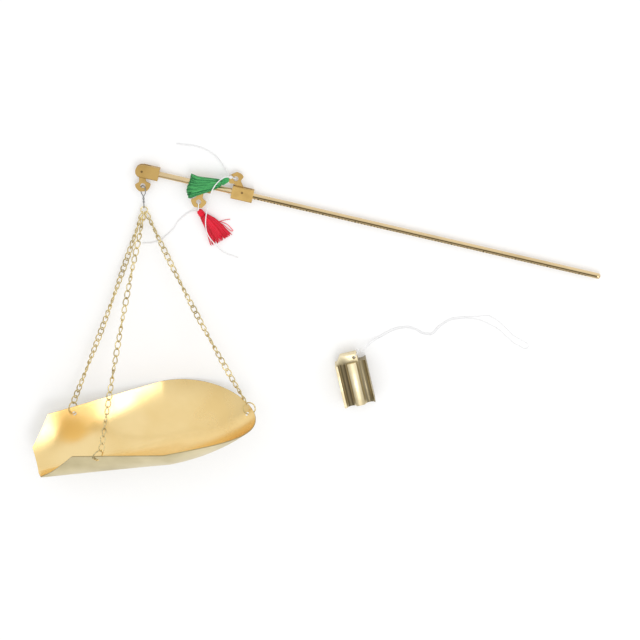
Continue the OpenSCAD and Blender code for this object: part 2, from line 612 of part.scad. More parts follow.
red_end_route = [[-27, -18.1, 1.9], [-28.6, -19, 1.2], [-30.6, -20.4, 0.6], [-33.2, -22.8, 0.4],
    [-35.4, -25.8, 0.4], [-37.4, -29.4, 0.4], [-38.8, -33.7, 0.4], [-41.4, -37.9, 0.4],
    [-44.6, -42.3, 0.4], [-48.2, -45.2, 0.4],
    [-52.6, -47.4, 0.4], [-56.9, -48.4, 0.4]];
module red_string_end() { color(white_cord) tube(red_end_route, string_d / 2, 8); }

// The poise: a fluted bar with a rib down its middle, a lip at each side and a lug for its string
poise_at = [100.3, -126, 0];
poise_turn = 26.2;
lip_w = 2.6;
far_lip_w = 1.4;
rib_at = 0.51 * poise_w;
rib_r = poise_t / 2;
body_t = poise_t - 2;
web_t = poise_t * 0.56;
mid_z = poise_t / 2;
module flute(x) {
    for (s = [-1, 1]) translate([x, -1, mid_z + s * (web_t / 2 + flute_r * 0.8)])
        rotate([-90, 0, 0]) cylinder(h = poise_l + 2, r = flute_r, $fn = 64);
}
lug_eye_d = 2.2;
module poise() {
    color(brass) translate(poise_at) rotate([0, 0, poise_turn]) {
        difference() {
            union() {
                translate([0, 0, mid_z - body_t / 2]) cube([lip_w, poise_l, body_t]);
                translate([poise_w - far_lip_w, 0, mid_z - body_t / 2]) cube([far_lip_w, poise_l, body_t]);
                translate([lip_w / 2, 0, mid_z - web_t / 2 - 1]) cube([poise_w - lip_w, poise_l, web_t + 2]);
                translate([rib_at, 0, mid_z]) rotate([-90, 0, 0]) cylinder(h = poise_l, r = rib_r, $fn = 96);
            }
            flute(lip_w + flute_r * 0.72);
            flute(poise_w - far_lip_w - flute_r * 0.72);
        }
        difference() {
            translate([0, 0, mid_z - lug_t]) linear_extrude(2 * lug_t) polygon([
                [lip_w * 0.2, poise_l - 0.5], [poise_w * 0.76, poise_l - 0.5],
                [poise_w * 0.74, poise_l + lug_l], [poise_w * 0.22, poise_l + lug_l]]);
            translate([poise_w * 0.64, poise_l + lug_l - 2.4, -1])
                cylinder(h = poise_t + 2, d = lug_eye_d, $fn = 32);
        }
    }
}
function on_poise(x, y, z) = poise_at + turned([x, y, 0], poise_turn) + [0, 0, z];
lug_eye = [poise_w * 0.64, poise_l + lug_l - 2.4];
string_aim = [0.75, 0.66];
knot_out = 5.3;
poise_knot_d = 2.2;
module poise_string_loop() {
    up = lug_t + thread_d / 2 + 0.2;
    color(white_cord) tube([for (p = [
        [knot_out, 1.6], [4.6, up - 0.7], [3.6, up], [0.8, up], [0.15, up - 0.7],
        [0, 0], [0.15, 0.7 - up], [0.8, -up], [3.4, -up], [4.2, 0.9 - up], [4.4, -0.8], [knot_out, 0.9]])
        on_poise(lug_eye[0] + string_aim[0] * p[0], lug_eye[1] + string_aim[1] * p[0], mid_z + p[1])],
        thread_d / 2, 6);
}
module poise_knot() {
    color(white_cord) translate(on_poise(lug_eye[0] + string_aim[0] * knot_out,
        lug_eye[1] + string_aim[1] * knot_out, mid_z + 1.2)) sphere(d = poise_knot_d, $fn = 24);
}
poise_route = [[101.9, -85.9, 8.7], [103.4, -84, 7.2], [105, -81.6, 5], [107, -79, 2.8], [109.2, -77.1, 1.2],
    [112, -74.8, 0.4], [116.6, -70.4, 0.3], [121.1, -66.9, 0.3], [128.4, -64, 0.3], [134.2, -63.8, 0.3],
    [139.4, -65.3, 0.3], [143.1, -65.4, 0.3], [146.5, -64.1, 0.3], [149.8, -58.2, 0.3], [155.3, -52.5, 0.3],
    [160.5, -49.9, 0.3], [166.5, -48.2, 0.3], [173.5, -46.2, 0.3], [179.3, -44.3, 0.3], [182.5, -44.4, 0.3],
    [189.7, -47.1, 0.3], [197.3, -51.9, 0.3], [201.1, -54, 0.3], [208.1, -56, 0.3], [211.3, -57.2, 0.3],
    [212.2, -59.2, 0.3], [210.4, -60.9, 0.3], [205.9, -59.8, 0.3], [201.8, -58.6, 0.3], [196.1, -55.5, 0.3],
    [189.9, -52, 0.3], [182.9, -49.8, 0.3], [176, -48.4, 0.3], [168.6, -48.8, 0.3], [160.9, -51, 0.3],
    [156, -53.4, 0.3], [150.7, -58.9, 0.3], [147.2, -65.1, 0.3], [143.2, -66.5, 0.3], [139.3, -66.4, 0.3],
    [134.2, -64.9, 0.3], [128.7, -65.1, 0.3], [121.8, -67.9, 0.3], [117.4, -71.4, 0.3], [113, -75.6, 0.4],
    [110.2, -78, 1.1], [107.9, -80, 2.5], [105.9, -82.5, 4.6], [104.2, -85, 6.7], [102.6, -86.8, 8.3]];
module poise_string() { color(white_cord) tube(poise_route, thread_d / 2, 8); }

beam_rod_head();
beam_rod_middle();
beam_rod_scale();
beam_tip_cap();
load_clevis();
main_clevis();
second_clevis();
load_pin();
main_pin();
second_pin();
load_hanger();
main_hanger();
second_hanger();
wire_link();
chain_top_ring();
chain_near();
chain_far();
chain_end();
pan_ring_near();
pan_ring_far();
pan_ring_end();
scoop_pan();
green_string_loop();
green_knot();
green_tassel_head();
green_tassel();
green_string_end();
green_string_tail();
red_string_loop();
red_knot();
red_tassel_head();
red_tassel();
red_string_end();
poise();
poise_string_loop();
poise_knot();
poise_string();
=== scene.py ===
# %% [markdown]
# A small brass steelyard with a scoop pan, laid on a white table.
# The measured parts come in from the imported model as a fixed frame. This script gives them
# their metal, and makes the soft and fine pieces: silk tassels, twisted strings, chain links,
# the folded pan and the punched scale. Lengths are in metres, and the routes of strings and
# threads are written in millimetres and scaled where they are used.

import math
import random

import bmesh
import bpy
import numpy as np
from mathutils import Matrix, Vector


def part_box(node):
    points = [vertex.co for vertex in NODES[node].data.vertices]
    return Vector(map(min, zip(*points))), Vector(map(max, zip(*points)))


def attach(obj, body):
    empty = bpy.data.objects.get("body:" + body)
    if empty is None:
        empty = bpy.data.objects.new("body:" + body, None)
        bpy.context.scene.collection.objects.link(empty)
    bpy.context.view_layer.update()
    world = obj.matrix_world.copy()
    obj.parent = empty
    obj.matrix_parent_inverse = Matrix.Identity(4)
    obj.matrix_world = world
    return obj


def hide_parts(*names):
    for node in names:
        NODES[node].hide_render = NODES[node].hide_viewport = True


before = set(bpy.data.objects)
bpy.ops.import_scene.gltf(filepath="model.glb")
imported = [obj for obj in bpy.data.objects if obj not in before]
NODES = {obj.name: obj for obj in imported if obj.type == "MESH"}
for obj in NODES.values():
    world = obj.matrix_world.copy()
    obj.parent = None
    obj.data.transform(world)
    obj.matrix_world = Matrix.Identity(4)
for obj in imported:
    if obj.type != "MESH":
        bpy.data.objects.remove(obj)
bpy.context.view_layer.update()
MM = 0.001

# %% [markdown]
# The photograph was taken from high above and a little behind the beam, with a long lens, so
# parallel edges stay nearly parallel. A camera is turned by naming the point it looks at and
# the direction that is up in its picture. It is made first, because the places further down
# were fitted to what it sees.

# %% Camera
LOOK_AT = Vector((70.5, -73.2, 0)) * MM
CAMERA_AT = Vector((-6.8, 254.3, 1255.7)) * MM
PICTURE_UP = Vector((-0.2299, 0.9732, 0))
LENS = 108.3


def aim_matrix(place, target, up):
    """A camera or a lamp looks along its own -Z, so +Z points back from the target."""
    back = (place - target).normalized()
    right = up.cross(back).normalized()
    turned = Matrix((right, back.cross(right), back)).transposed().to_4x4()
    return Matrix.Translation(place) @ turned


bpy.ops.object.select_all(action="DESELECT")
bpy.ops.object.camera_add()
camera = bpy.context.object
camera.name = "view_from_above"
camera.matrix_world = aim_matrix(CAMERA_AT, LOOK_AT, PICTURE_UP)
camera.data.sensor_width = 36
camera.data.lens = LENS
camera.data.clip_end = 20
bpy.context.scene.camera = camera
bpy.context.scene.view_settings.view_transform = "Standard"
print("camera", round((CAMERA_AT - LOOK_AT).length, 2), "m from the table")

# %% [markdown]
# Most of the fine pieces are swept along a line: strings, threads, wire and links. Blender's
# curve bevel gives only a plain round section. A twisted string has plies that show as a wavy
# outline turning as it goes, so one helper sweeps any section along a line and keeps it from
# spinning by carrying its frame from point to point.


# %% Helpers for lines and swept shapes
def smooth_line(points, step):
    """A Catmull-Rom line through the points, with about one point for each step."""
    p = np.array(points, float)
    p = np.vstack([2 * p[0] - p[1], p, 2 * p[-1] - p[-2]])
    out = []
    for a, b, c, d in zip(p, p[1:], p[2:], p[3:]):
        n = max(1, int(round(np.linalg.norm(c - b) / step)))
        for t in np.arange(n) / n:
            out.append(0.5 * (2 * b + (c - a) * t + (2 * a - 5 * b + 4 * c - d) * t * t
                              + (3 * b - a - 3 * c + d) * t ** 3))
    return np.array(out + [p[-2]])


def line_length(line):
    return float(np.linalg.norm(np.diff(line, axis=0), axis=1).sum())


def carried_frames(line):
    """The direction of the line at each point, and two sideways directions that don't spin."""
    way = np.gradient(line, axis=0)
    way /= np.linalg.norm(way, axis=1)[:, None]
    side = np.cross(way[0], (0, 0, 1) if abs(way[0][2]) < 0.9 else (1, 0, 0))
    sides = []
    for w in way:
        side = side - side.dot(w) * w
        side = side / np.linalg.norm(side)
        sides.append(side)
    sides = np.array(sides)
    return way, sides, np.cross(way, sides)


def swept(line, radius, sides, plies=0, lay_length=1, depth=0.0, taper=None):
    """Points and faces of a closed rod along the line; plies cut grooves that wind round it."""
    way, u, v = carried_frames(line)
    run = np.concatenate([[0], np.cumsum(np.linalg.norm(np.diff(line, axis=0), axis=1))])
    verts = []
    for i, centre in enumerate(line):
        size = radius * (taper[i] if taper is not None else 1)
        for k in range(sides):
            a = 2 * math.pi * k / sides
            groove = abs(math.sin(plies * (a - 2 * math.pi * run[i] / lay_length) / 2)) if plies else 1
            r = size * (1 - depth + depth * groove)
            verts.append(centre + r * (math.cos(a) * u[i] + math.sin(a) * v[i]))
    rings = len(line)
    faces = [(i * sides + k, i * sides + (k + 1) % sides, (i + 1) * sides + (k + 1) % sides,
              (i + 1) * sides + k) for i in range(rings - 1) for k in range(sides)]
    faces.append(tuple(range(sides - 1, -1, -1)))
    faces.append(tuple((rings - 1) * sides + k for k in range(sides)))
    return verts, faces


def mesh_piece(name, verts, faces):
    """A new smooth-shaded piece from points and faces."""
    mesh = bpy.data.meshes.new(name)
    mesh.from_pydata([tuple(v) for v in verts], [], faces)
    mesh.validate()
    piece = bpy.data.objects.new(name, mesh)
    bpy.context.collection.objects.link(piece)
    mesh.shade_smooth()
    return piece


def joined_piece(name, shells):
    """One mesh from many (points, faces) pairs."""
    verts, faces = [], []
    for points, cells in shells:
        first = len(verts)
        verts.extend(points)
        faces.extend(tuple(first + i for i in cell) for cell in cells)
    return mesh_piece(name, verts, faces)


def only(piece):
    """Leaves just this piece selected and active, ready for an operator."""
    bpy.ops.object.select_all(action="DESELECT")
    piece.select_set(True)
    bpy.context.view_layer.objects.active = piece


def settle(piece):
    """Puts the piece's place into its mesh, so its object sits at the origin."""
    only(piece)
    bpy.ops.object.transform_apply(location=True, rotation=True, scale=True)


def finish_modifiers(piece):
    only(piece)
    for modifier in list(piece.modifiers):
        bpy.ops.object.modifier_apply(modifier=modifier.name)


def recalculated(piece):
    only(piece)
    bpy.ops.object.mode_set(mode="EDIT")
    bpy.ops.mesh.select_all(action="SELECT")
    bpy.ops.mesh.remove_doubles(threshold=1e-6)
    bpy.ops.mesh.normals_make_consistent(inside=False)
    bpy.ops.object.mode_set(mode="OBJECT")


def smoothed_copy(node, name):
    """A faceted CAD node, merged into one skin and rounded by subdivision."""
    piece = bpy.data.objects.new(name, NODES[node].data.copy())
    bpy.context.collection.objects.link(piece)
    piece.data.materials.clear()
    recalculated(piece)
    piece.data.shade_smooth()
    rounding = piece.modifiers.new("rounding", "SUBSURF")
    rounding.levels = rounding.render_levels = 1
    finish_modifiers(piece)
    return piece


# %% [markdown]
# Four strings lie free on the table: two ends from the green tassel, one from the red one and
# the poise's doubled thread. Each is a fixed length of limp white cotton. Its line repeats the
# route of its solid in the model, so it lies exactly where that one does. Its skin has three
# plies, and each winds once round in a little over three diameters.

# %% Strings' routes, in millimetres
STRING = 0.75
THREAD = 0.5
GREEN_END = [(-10.6, 10.2, 4.6), (-11.8, 10.9, 3.2), (-13, 12.2, 1.6), (-14.6, 13.8, 0.7),
             (-18.1, 17.2, 0.4), (-23, 20.6, 0.4), (-29.7, 22.8, 0.4), (-36.8, 23.6, 0.4),
             (-43.5, 22.9, 0.4), (-49.2, 22.3, 0.4)]
GREEN_TAIL = [(-9.9, 9.4, 6), (-11.2, 9.6, 7), (-13.2, 9.2, 8.4), (-15, 7.9, 9.9), (-16.6, 6, 10.8),
              (-18.4, 2.6, 10.9), (-19.6, -1.6, 10.3), (-20, -6, 8.9), (-20.1, -11.3, 7),
              (-19.9, -16.1, 6), (-19.7, -20, 6.1), (-19.1, -24, 5.9), (-17.8, -28.6, 5.1),
              (-16, -31.8, 4.8), (-12.5, -35.4, 4.1), (-8.5, -38.3, 3.5), (-5.2, -40.8, 2.3),
              (-2, -42.4, 0.9), (3, -43.2, 0.4), (7.3, -43.6, 0.4)]
RED_END = [(-27, -18.1, 1.9), (-28.6, -19, 1.2), (-30.6, -20.4, 0.6), (-33.2, -22.8, 0.4),
           (-35.4, -25.8, 0.4), (-37.4, -29.4, 0.4), (-38.8, -33.7, 0.4), (-41.4, -37.9, 0.4),
           (-44.6, -42.3, 0.4), (-48.2, -45.2, 0.4), (-52.6, -47.4, 0.4), (-56.9, -48.4, 0.4)]
POISE_THREAD = [
    (101.9, -85.9, 8.7), (103.4, -84, 7.2), (105, -81.6, 5), (107, -79, 2.8), (109.2, -77.1, 1.2),
    (112, -74.8, 0.4), (116.6, -70.4, 0.3), (121.1, -66.9, 0.3), (128.4, -64, 0.3),
    (134.2, -63.8, 0.3), (139.4, -65.3, 0.3), (143.1, -65.4, 0.3), (146.5, -64.1, 0.3),
    (149.8, -58.2, 0.3), (155.3, -52.5, 0.3), (160.5, -49.9, 0.3), (166.5, -48.2, 0.3),
    (173.5, -46.2, 0.3), (179.3, -44.3, 0.3), (182.5, -44.4, 0.3), (189.7, -47.1, 0.3),
    (197.3, -51.9, 0.3), (201.1, -54, 0.3), (208.1, -56, 0.3), (211.3, -57.2, 0.3),
    (212.2, -59.2, 0.3), (210.4, -60.9, 0.3), (205.9, -59.8, 0.3), (201.8, -58.6, 0.3),
    (196.1, -55.5, 0.3), (189.9, -52, 0.3), (182.9, -49.8, 0.3), (176, -48.4, 0.3),
    (168.6, -48.8, 0.3), (160.9, -51, 0.3), (156, -53.4, 0.3), (150.7, -58.9, 0.3),
    (147.2, -65.1, 0.3), (143.2, -66.5, 0.3), (139.3, -66.4, 0.3), (134.2, -64.9, 0.3),
    (128.7, -65.1, 0.3), (121.8, -67.9, 0.3), (117.4, -71.4, 0.3), (113, -75.6, 0.4),
    (110.2, -78, 1.1), (107.9, -80, 2.5), (105.9, -82.5, 4.6), (104.2, -85, 6.7), (102.6, -86.8, 8.3)]


# %% Free strings
STRING_SIDES, STRING_PLIES, STRING_LAY, STRING_GROOVE = 12, 3, 3.2, 0.22


def twisted(name, route, thickness):
    """A three-ply string along a route in millimetres; returns the piece and its line."""
    line = smooth_line(np.array(route) * MM, 0.35 * thickness * MM)
    shell = swept(line, thickness * MM / 2, STRING_SIDES, plies=STRING_PLIES,
                  lay_length=STRING_LAY * thickness * MM, depth=STRING_GROOVE)
    return mesh_piece(name, *shell), line


FREE_STRINGS = [
    ("green_free_end", GREEN_END, STRING, "green_string_end", "green_tassel", "bare", "loose"),
    ("green_free_tail", GREEN_TAIL, STRING, "green_string_tail", "green_tassel", "bare", "loose"),
    ("red_free_end", RED_END, STRING, "red_string_end", "red_tassel", "bare", "loose"),
    ("poise_doubled_thread", POISE_THREAD, THREAD, "poise_string", "poise", "object", "loose"),
]
string_pieces = []
for name, route, thickness, node, body, far_end, lay in FREE_STRINGS:
    piece, line = twisted(name, route, thickness)
    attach(piece, body)
    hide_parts(node)
    string_pieces.append(piece)
    print(name, round(line_length(line) / MM, 1), "mm long")

# %% [markdown]
# The table is one large plain sheet that keeps the object's shadow. Light Path tells a shader
# which ray is asking: the table glows a little for rays from the camera and for mirror rays, so
# that it shows white. The world answers three kinds of ray. The camera sees it white, plain
# surfaces get an even pale sky, and mirror rays see a room that is bright towards a window and
# dark away from it, because polished metal shows little else than what stands around it. The
# rest of the light comes from two soft lamps.

# %% Table
FLOOR_HALF = 3.0
TABLE_TONE, TABLE_GLOW = 0.76, 0.25
bpy.ops.object.select_all(action="DESELECT")
bpy.ops.mesh.primitive_plane_add(size=2 * FLOOR_HALF, location=(0.07, -0.07, -0.0002))
floor = bpy.context.object
floor.name = "white_table"


def new_material(name):
    """A material with one Principled shader; returns the material, its nodes and its links."""
    material = bpy.data.materials.new(name)
    material.use_nodes = True
    tree = material.node_tree
    return material, tree.nodes, tree.links, tree.nodes["Principled BSDF"]


table_white, nodes, links, surface = new_material("table_white")
surface.inputs["Base Color"].default_value = (TABLE_TONE, TABLE_TONE, TABLE_TONE, 1)
surface.inputs["Roughness"].default_value = 0.9
surface.inputs["Specular IOR Level"].default_value = 0.1
surface.inputs["Emission Color"].default_value = (1, 1, 1, 1)
path = nodes.new("ShaderNodeLightPath")
seen = nodes.new("ShaderNodeMath")
seen.operation = "MAXIMUM"
links.new(path.outputs["Is Camera Ray"], seen.inputs[0])
links.new(path.outputs["Is Glossy Ray"], seen.inputs[1])
glow = nodes.new("ShaderNodeMath")
glow.operation = "MULTIPLY"
glow.inputs[1].default_value = TABLE_GLOW
links.new(seen.outputs[0], glow.inputs[0])
links.new(glow.outputs[0], surface.inputs["Emission Strength"])
floor.data.materials.append(table_white)
print("table made")

# %% World
TOWARD_WINDOW = (-0.15, 0.75, 0.645)
DARK_WALL, BRIGHT_WALL, WINDOW_FROM, SKY_LEVEL = 0.38, 0.95, 0.68, 0.90
world = bpy.data.worlds.new("soft_room")
bpy.context.scene.world = world
world.use_nodes = True
room = world.node_tree
sky = room.nodes["Background"]
sky.inputs["Color"].default_value = (1, 1, 1, 1)
add, join = room.nodes.new, room.links.new
room_path = add("ShaderNodeLightPath")
direction = add("ShaderNodeTexCoord")
toward_light = add("ShaderNodeVectorMath")
toward_light.operation = "DOT_PRODUCT"
toward_light.inputs[1].default_value = TOWARD_WINDOW
room_level = add("ShaderNodeMapRange")
room_level.inputs["From Min"].default_value = 0.0
room_level.inputs["From Max"].default_value = WINDOW_FROM
room_level.inputs["To Min"].default_value = DARK_WALL
room_level.inputs["To Max"].default_value = BRIGHT_WALL
by_ray = add("ShaderNodeMapRange")
by_ray.inputs["To Min"].default_value = SKY_LEVEL
to_camera = add("ShaderNodeMapRange")
to_camera.inputs["To Max"].default_value = 1.0
join(direction.outputs["Generated"], toward_light.inputs[0])
join(toward_light.outputs["Value"], room_level.inputs["Value"])
join(room_path.outputs["Is Camera Ray"], to_camera.inputs["Value"])
join(room_path.outputs["Is Glossy Ray"], by_ray.inputs["Value"])
join(room_level.outputs["Result"], by_ray.inputs["To Max"])
join(by_ray.outputs["Result"], to_camera.inputs["To Min"])
join(to_camera.outputs["Result"], sky.inputs["Strength"])
print("world made")


# %% Soft lamps
def softbox(name, place, target, size, watts):
    """A rectangular lamp at place that shines on target."""
    bpy.ops.object.light_add(type="AREA")
    lamp = bpy.context.object
    lamp.name = name
    lamp.matrix_world = aim_matrix(Vector(place), Vector(target), Vector((0, 1, 0.1)))
    lamp.data.shape = "RECTANGLE"
    lamp.data.size, lamp.data.size_y = size
    lamp.data.energy = watts


softbox("front_softbox", (0.34, -0.44, 1.10), (-0.07, -0.17, 0.02), (0.36, 0.60), 2.4)
softbox("far_softbox", (1.3, 0.9, 1.2), (0.1, -0.05, 0), (0.6, 0.6), 2.0)
print("lamps made")

# %% [markdown]
# Every metal on the steelyard has the same three things over its plain colour: a slow change
# of tone where hands have darkened it, fine scratches, and duller and brighter places. They
# are one group of shader nodes with named inputs, so that each metal sets its own amounts.


# %% Shared group: worn metal
def group_sockets(group, inputs, outputs):
    for label, kind, value in inputs:
        socket = group.interface.new_socket(name=label, in_out="INPUT", socket_type=kind)
        socket.default_value = value
    for label, kind in outputs:
        group.interface.new_socket(name=label, in_out="OUTPUT", socket_type=kind)
    return group.nodes.new("NodeGroupInput"), group.nodes.new("NodeGroupOutput")


worn_metal = bpy.data.node_groups.new("worn_metal", "ShaderNodeTree")
given, result = group_sockets(
    worn_metal,
    [("Bright", "NodeSocketColor", (0.8, 0.6, 0.3, 1)), ("Dull", "NodeSocketColor", (0.5, 0.35, 0.15, 1)),
     ("Tone Scale", "NodeSocketFloat", 60.0), ("Tone Share", "NodeSocketFloat", 0.5),
     ("Stretch", "NodeSocketVector", (1, 1, 1)), ("Scratch Scale", "NodeSocketFloat", 900.0),
     ("Smooth", "NodeSocketFloat", 0.25), ("Rough", "NodeSocketFloat", 0.45)],
    [("Color", "NodeSocketColor"), ("Roughness", "NodeSocketFloat"), ("Height", "NodeSocketFloat")])
coords = worn_metal.nodes.new("ShaderNodeTexCoord")
tone = worn_metal.nodes.new("ShaderNodeTexNoise")
tone.inputs["Detail"].default_value = 4
tone_range = worn_metal.nodes.new("ShaderNodeMapRange")
tone_range.inputs["From Min"].default_value = 0.35
tone_range.inputs["From Max"].default_value = 0.68
stretched = worn_metal.nodes.new("ShaderNodeVectorMath")
stretched.operation = "MULTIPLY"
scratch = worn_metal.nodes.new("ShaderNodeTexNoise")
scratch.inputs["Detail"].default_value = 3
share = worn_metal.nodes.new("ShaderNodeMath")
share.operation = "MULTIPLY"
mixed = worn_metal.nodes.new("ShaderNodeMix")
mixed.data_type = "RGBA"
rough_sum = worn_metal.nodes.new("ShaderNodeMath")
rough_sum.operation = "MULTIPLY_ADD"
rough_sum.inputs[1].default_value = 0.5
rough_range = worn_metal.nodes.new("ShaderNodeMapRange")
rough_range.inputs["From Max"].default_value = 1.1
wire_up = worn_metal.links.new
wire_up(coords.outputs["Object"], tone.inputs["Vector"])
wire_up(given.outputs["Tone Scale"], tone.inputs["Scale"])
wire_up(tone.outputs["Fac"], tone_range.inputs["Value"])
wire_up(coords.outputs["Object"], stretched.inputs[0])
wire_up(given.outputs["Stretch"], stretched.inputs[1])
wire_up(stretched.outputs["Vector"], scratch.inputs["Vector"])
wire_up(given.outputs["Scratch Scale"], scratch.inputs["Scale"])
wire_up(tone_range.outputs["Result"], share.inputs[0])
wire_up(given.outputs["Tone Share"], share.inputs[1])
wire_up(share.outputs[0], mixed.inputs["Factor"])
wire_up(given.outputs["Bright"], mixed.inputs["A"])
wire_up(given.outputs["Dull"], mixed.inputs["B"])
wire_up(mixed.outputs["Result"], result.inputs["Color"])
wire_up(scratch.outputs["Fac"], rough_sum.inputs[0])
wire_up(tone_range.outputs["Result"], rough_sum.inputs[2])
wire_up(rough_sum.outputs[0], rough_range.inputs["Value"])
wire_up(given.outputs["Smooth"], rough_range.inputs["To Min"])
wire_up(given.outputs["Rough"], rough_range.inputs["To Max"])
wire_up(rough_range.outputs["Result"], result.inputs["Roughness"])
wire_up(scratch.outputs["Fac"], result.inputs["Height"])


def metal(name, bright, dull, stretch=(1, 1, 1), tone_scale=60, tone_share=0.5, scratch_scale=900,
          smooth=0.25, rough=0.45, bump=0.00002, painted_shade_color=None, painted_shade_rough=None):
    """A worn metal: colours are 0 to 1, bump is how deep the scratches are in metres. The last two
    arguments give painted shade: a dark colour mixed in where the mesh's value is high, and its roughness."""
    material, nodes, links, surface = new_material(name)
    surface.inputs["Metallic"].default_value = 1
    wear = nodes.new("ShaderNodeGroup")
    wear.node_tree = worn_metal
    for label, value in (("Bright", (*bright, 1)), ("Dull", (*dull, 1)), ("Tone Scale", tone_scale),
                         ("Tone Share", tone_share), ("Stretch", stretch), ("Scratch Scale", scratch_scale),
                         ("Smooth", smooth), ("Rough", rough)):
        wear.inputs[label].default_value = value
    relief = nodes.new("ShaderNodeBump")
    relief.inputs["Distance"].default_value = bump
    # Painted shade: a dark colour is mixed into the metal where the mesh's value is high.
    if painted_shade_color:
        painted_shade = nodes.new("ShaderNodeAttribute")
        painted_shade.attribute_name = "painted_shade"
        shade_mix = nodes.new("ShaderNodeMix")
        shade_mix.data_type = "RGBA"
        shade_mix.inputs["B"].default_value = (*painted_shade_color, 1)
        links.new(painted_shade.outputs["Fac"], shade_mix.inputs["Factor"])
        links.new(wear.outputs["Color"], shade_mix.inputs["A"])
        links.new(shade_mix.outputs["Result"], surface.inputs["Base Color"])
    else:
        links.new(wear.outputs["Color"], surface.inputs["Base Color"])
    if painted_shade_rough:
        matt = nodes.new("ShaderNodeMix")
        matt.inputs["B"].default_value = painted_shade_rough
        links.new(painted_shade.outputs["Fac"], matt.inputs["Factor"])
        links.new(wear.outputs["Roughness"], matt.inputs["A"])
        links.new(matt.outputs["Result"], surface.inputs["Roughness"])
    else:
        links.new(wear.outputs["Roughness"], surface.inputs["Roughness"])
    links.new(wear.outputs["Height"], relief.inputs["Height"])
    links.new(relief.outputs["Normal"], surface.inputs["Normal"])
    return material


# Its extra dark colour is a painted dark reflection band, mixed in on the scale rod only, rougher there.
beam_brass = metal("beam_brass", (0.80, 0.62, 0.36), (0.56, 0.42, 0.22), stretch=(0.08, 1, 1),
                   tone_scale=45, smooth=0.16, rough=0.34, painted_shade_color=(0.12, 0.08, 0.025),
                   painted_shade_rough=0.75)
block_brass = metal("block_brass", (0.60, 0.40, 0.14), (0.44, 0.28, 0.09), tone_scale=110,
                    smooth=0.30, rough=0.50, bump=0.00003)
pin_brass = metal("pin_brass", (0.24, 0.15, 0.06), (0.12, 0.08, 0.03), tone_scale=300)
chain_brass = metal("chain_brass", (0.88, 0.74, 0.40), (0.42, 0.33, 0.15), tone_scale=150,
                    tone_share=0.8, smooth=0.14, rough=0.30)
pan_brass = metal("pan_brass", (0.94, 0.73, 0.37), (0.86, 0.62, 0.26), tone_scale=26,
                  tone_share=0.8, scratch_scale=500, smooth=0.18, rough=0.28, bump=0.00001)
# The pan's outside is rougher, as less polished brass is; its darker olive colour is painted shade,
# standing in for the dark room it reflects.
pan_outside_shaded = metal("pan_outside_shaded", (0.72, 0.62, 0.37), (0.50, 0.42, 0.22), tone_scale=26,
                    tone_share=0.8, scratch_scale=500, smooth=0.26, rough=0.40, bump=0.00001)
pan_edge = metal("pan_edge", (0.46, 0.36, 0.18), (0.28, 0.21, 0.10), tone_scale=200)
# Its extra dark colour is painted shade in the flutes and a painted dark reflection along one edge.
poise_brass = metal("poise_brass", (0.93, 0.82, 0.56), (0.66, 0.53, 0.28), stretch=(1, 0.12, 1),
                    tone_scale=80, scratch_scale=1500, smooth=0.28, rough=0.46, bump=0.00004,
                    painted_shade_color=(0.20, 0.16, 0.09))
steel = metal("bright_steel_wire", (0.40, 0.40, 0.39), (0.20, 0.20, 0.20), tone_scale=200,
              smooth=0.18, rough=0.36)
print("metals made")

# %% [markdown]
# Silk and cotton aren't metal: light enters the thread a little and comes back coloured, and
# a soft sheen lies along each strand. The colour changes from thread to thread: a value on the
# mesh gives each thread its own tone, and a fine noise varies it on the way, with no picture.


# %% Thread materials
FIBRE_RELIEF = 0.03 * MM


def thread(name, light, deep, scale, roughness, sheen, by_strand=0.0):
    """Thread colours run from deep to light; by_strand is how much each strand differs whole."""
    material, nodes, links, surface = new_material(name)
    surface.inputs["Sheen Weight"].default_value = sheen
    surface.inputs["Sheen Roughness"].default_value = 0.4
    surface.inputs["Specular IOR Level"].default_value = 0.3
    place = nodes.new("ShaderNodeTexCoord")
    fibre = nodes.new("ShaderNodeTexNoise")
    fibre.inputs["Scale"].default_value = scale
    fibre.inputs["Detail"].default_value = 3
    blend = nodes.new("ShaderNodeValToRGB")
    blend.color_ramp.elements[0].position = 0.25
    blend.color_ramp.elements[0].color = (*deep, 1)
    blend.color_ramp.elements[1].position = 0.75
    blend.color_ramp.elements[1].color = (*light, 1)
    strand = nodes.new("ShaderNodeAttribute")
    strand.attribute_name = "strand"
    either = nodes.new("ShaderNodeMix")
    either.inputs["Factor"].default_value = by_strand
    rough = nodes.new("ShaderNodeMapRange")
    rough.inputs["To Min"].default_value = roughness + 0.1
    rough.inputs["To Max"].default_value = roughness - 0.1
    relief = nodes.new("ShaderNodeBump")
    relief.inputs["Distance"].default_value = FIBRE_RELIEF
    links.new(place.outputs["Object"], fibre.inputs["Vector"])
    links.new(fibre.outputs["Fac"], either.inputs["A"])
    links.new(strand.outputs["Fac"], either.inputs["B"])
    links.new(either.outputs["Result"], blend.inputs["Fac"])
    links.new(fibre.outputs["Fac"], rough.inputs["Value"])
    links.new(fibre.outputs["Fac"], relief.inputs["Height"])
    links.new(blend.outputs["Color"], surface.inputs["Base Color"])
    links.new(rough.outputs["Result"], surface.inputs["Roughness"])
    links.new(relief.outputs["Normal"], surface.inputs["Normal"])
    return material


green_silk = thread("green_silk", (0.13, 0.64, 0.20), (0.002, 0.14, 0.04), 900, 0.45, 0.2, 0.8)
red_silk = thread("red_silk", (1.0, 0.03, 0.08), (0.80, 0.002, 0.02), 900, 0.45, 0.1, 0.8)
green_head_silk = thread("green_head_silk", (0.10, 0.60, 0.18), (0.01, 0.26, 0.08), 1600, 0.45, 0.2)
red_head_silk = thread("red_head_silk", (1.0, 0.02, 0.06), (0.75, 0.002, 0.02), 1600, 0.45, 0.1)
cotton = thread("white_cotton", (0.95, 0.95, 0.95), (0.84, 0.84, 0.85), 1500, 0.75, 0.2)
for piece in string_pieces:
    piece.data.materials.append(cotton)
print("threads made")

# %% [markdown]
# The exact parts keep their own meshes: rods, clevises, pins, hangers, rings and the cap are
# already right in the model. Each only gets its metal in place of the plain one.

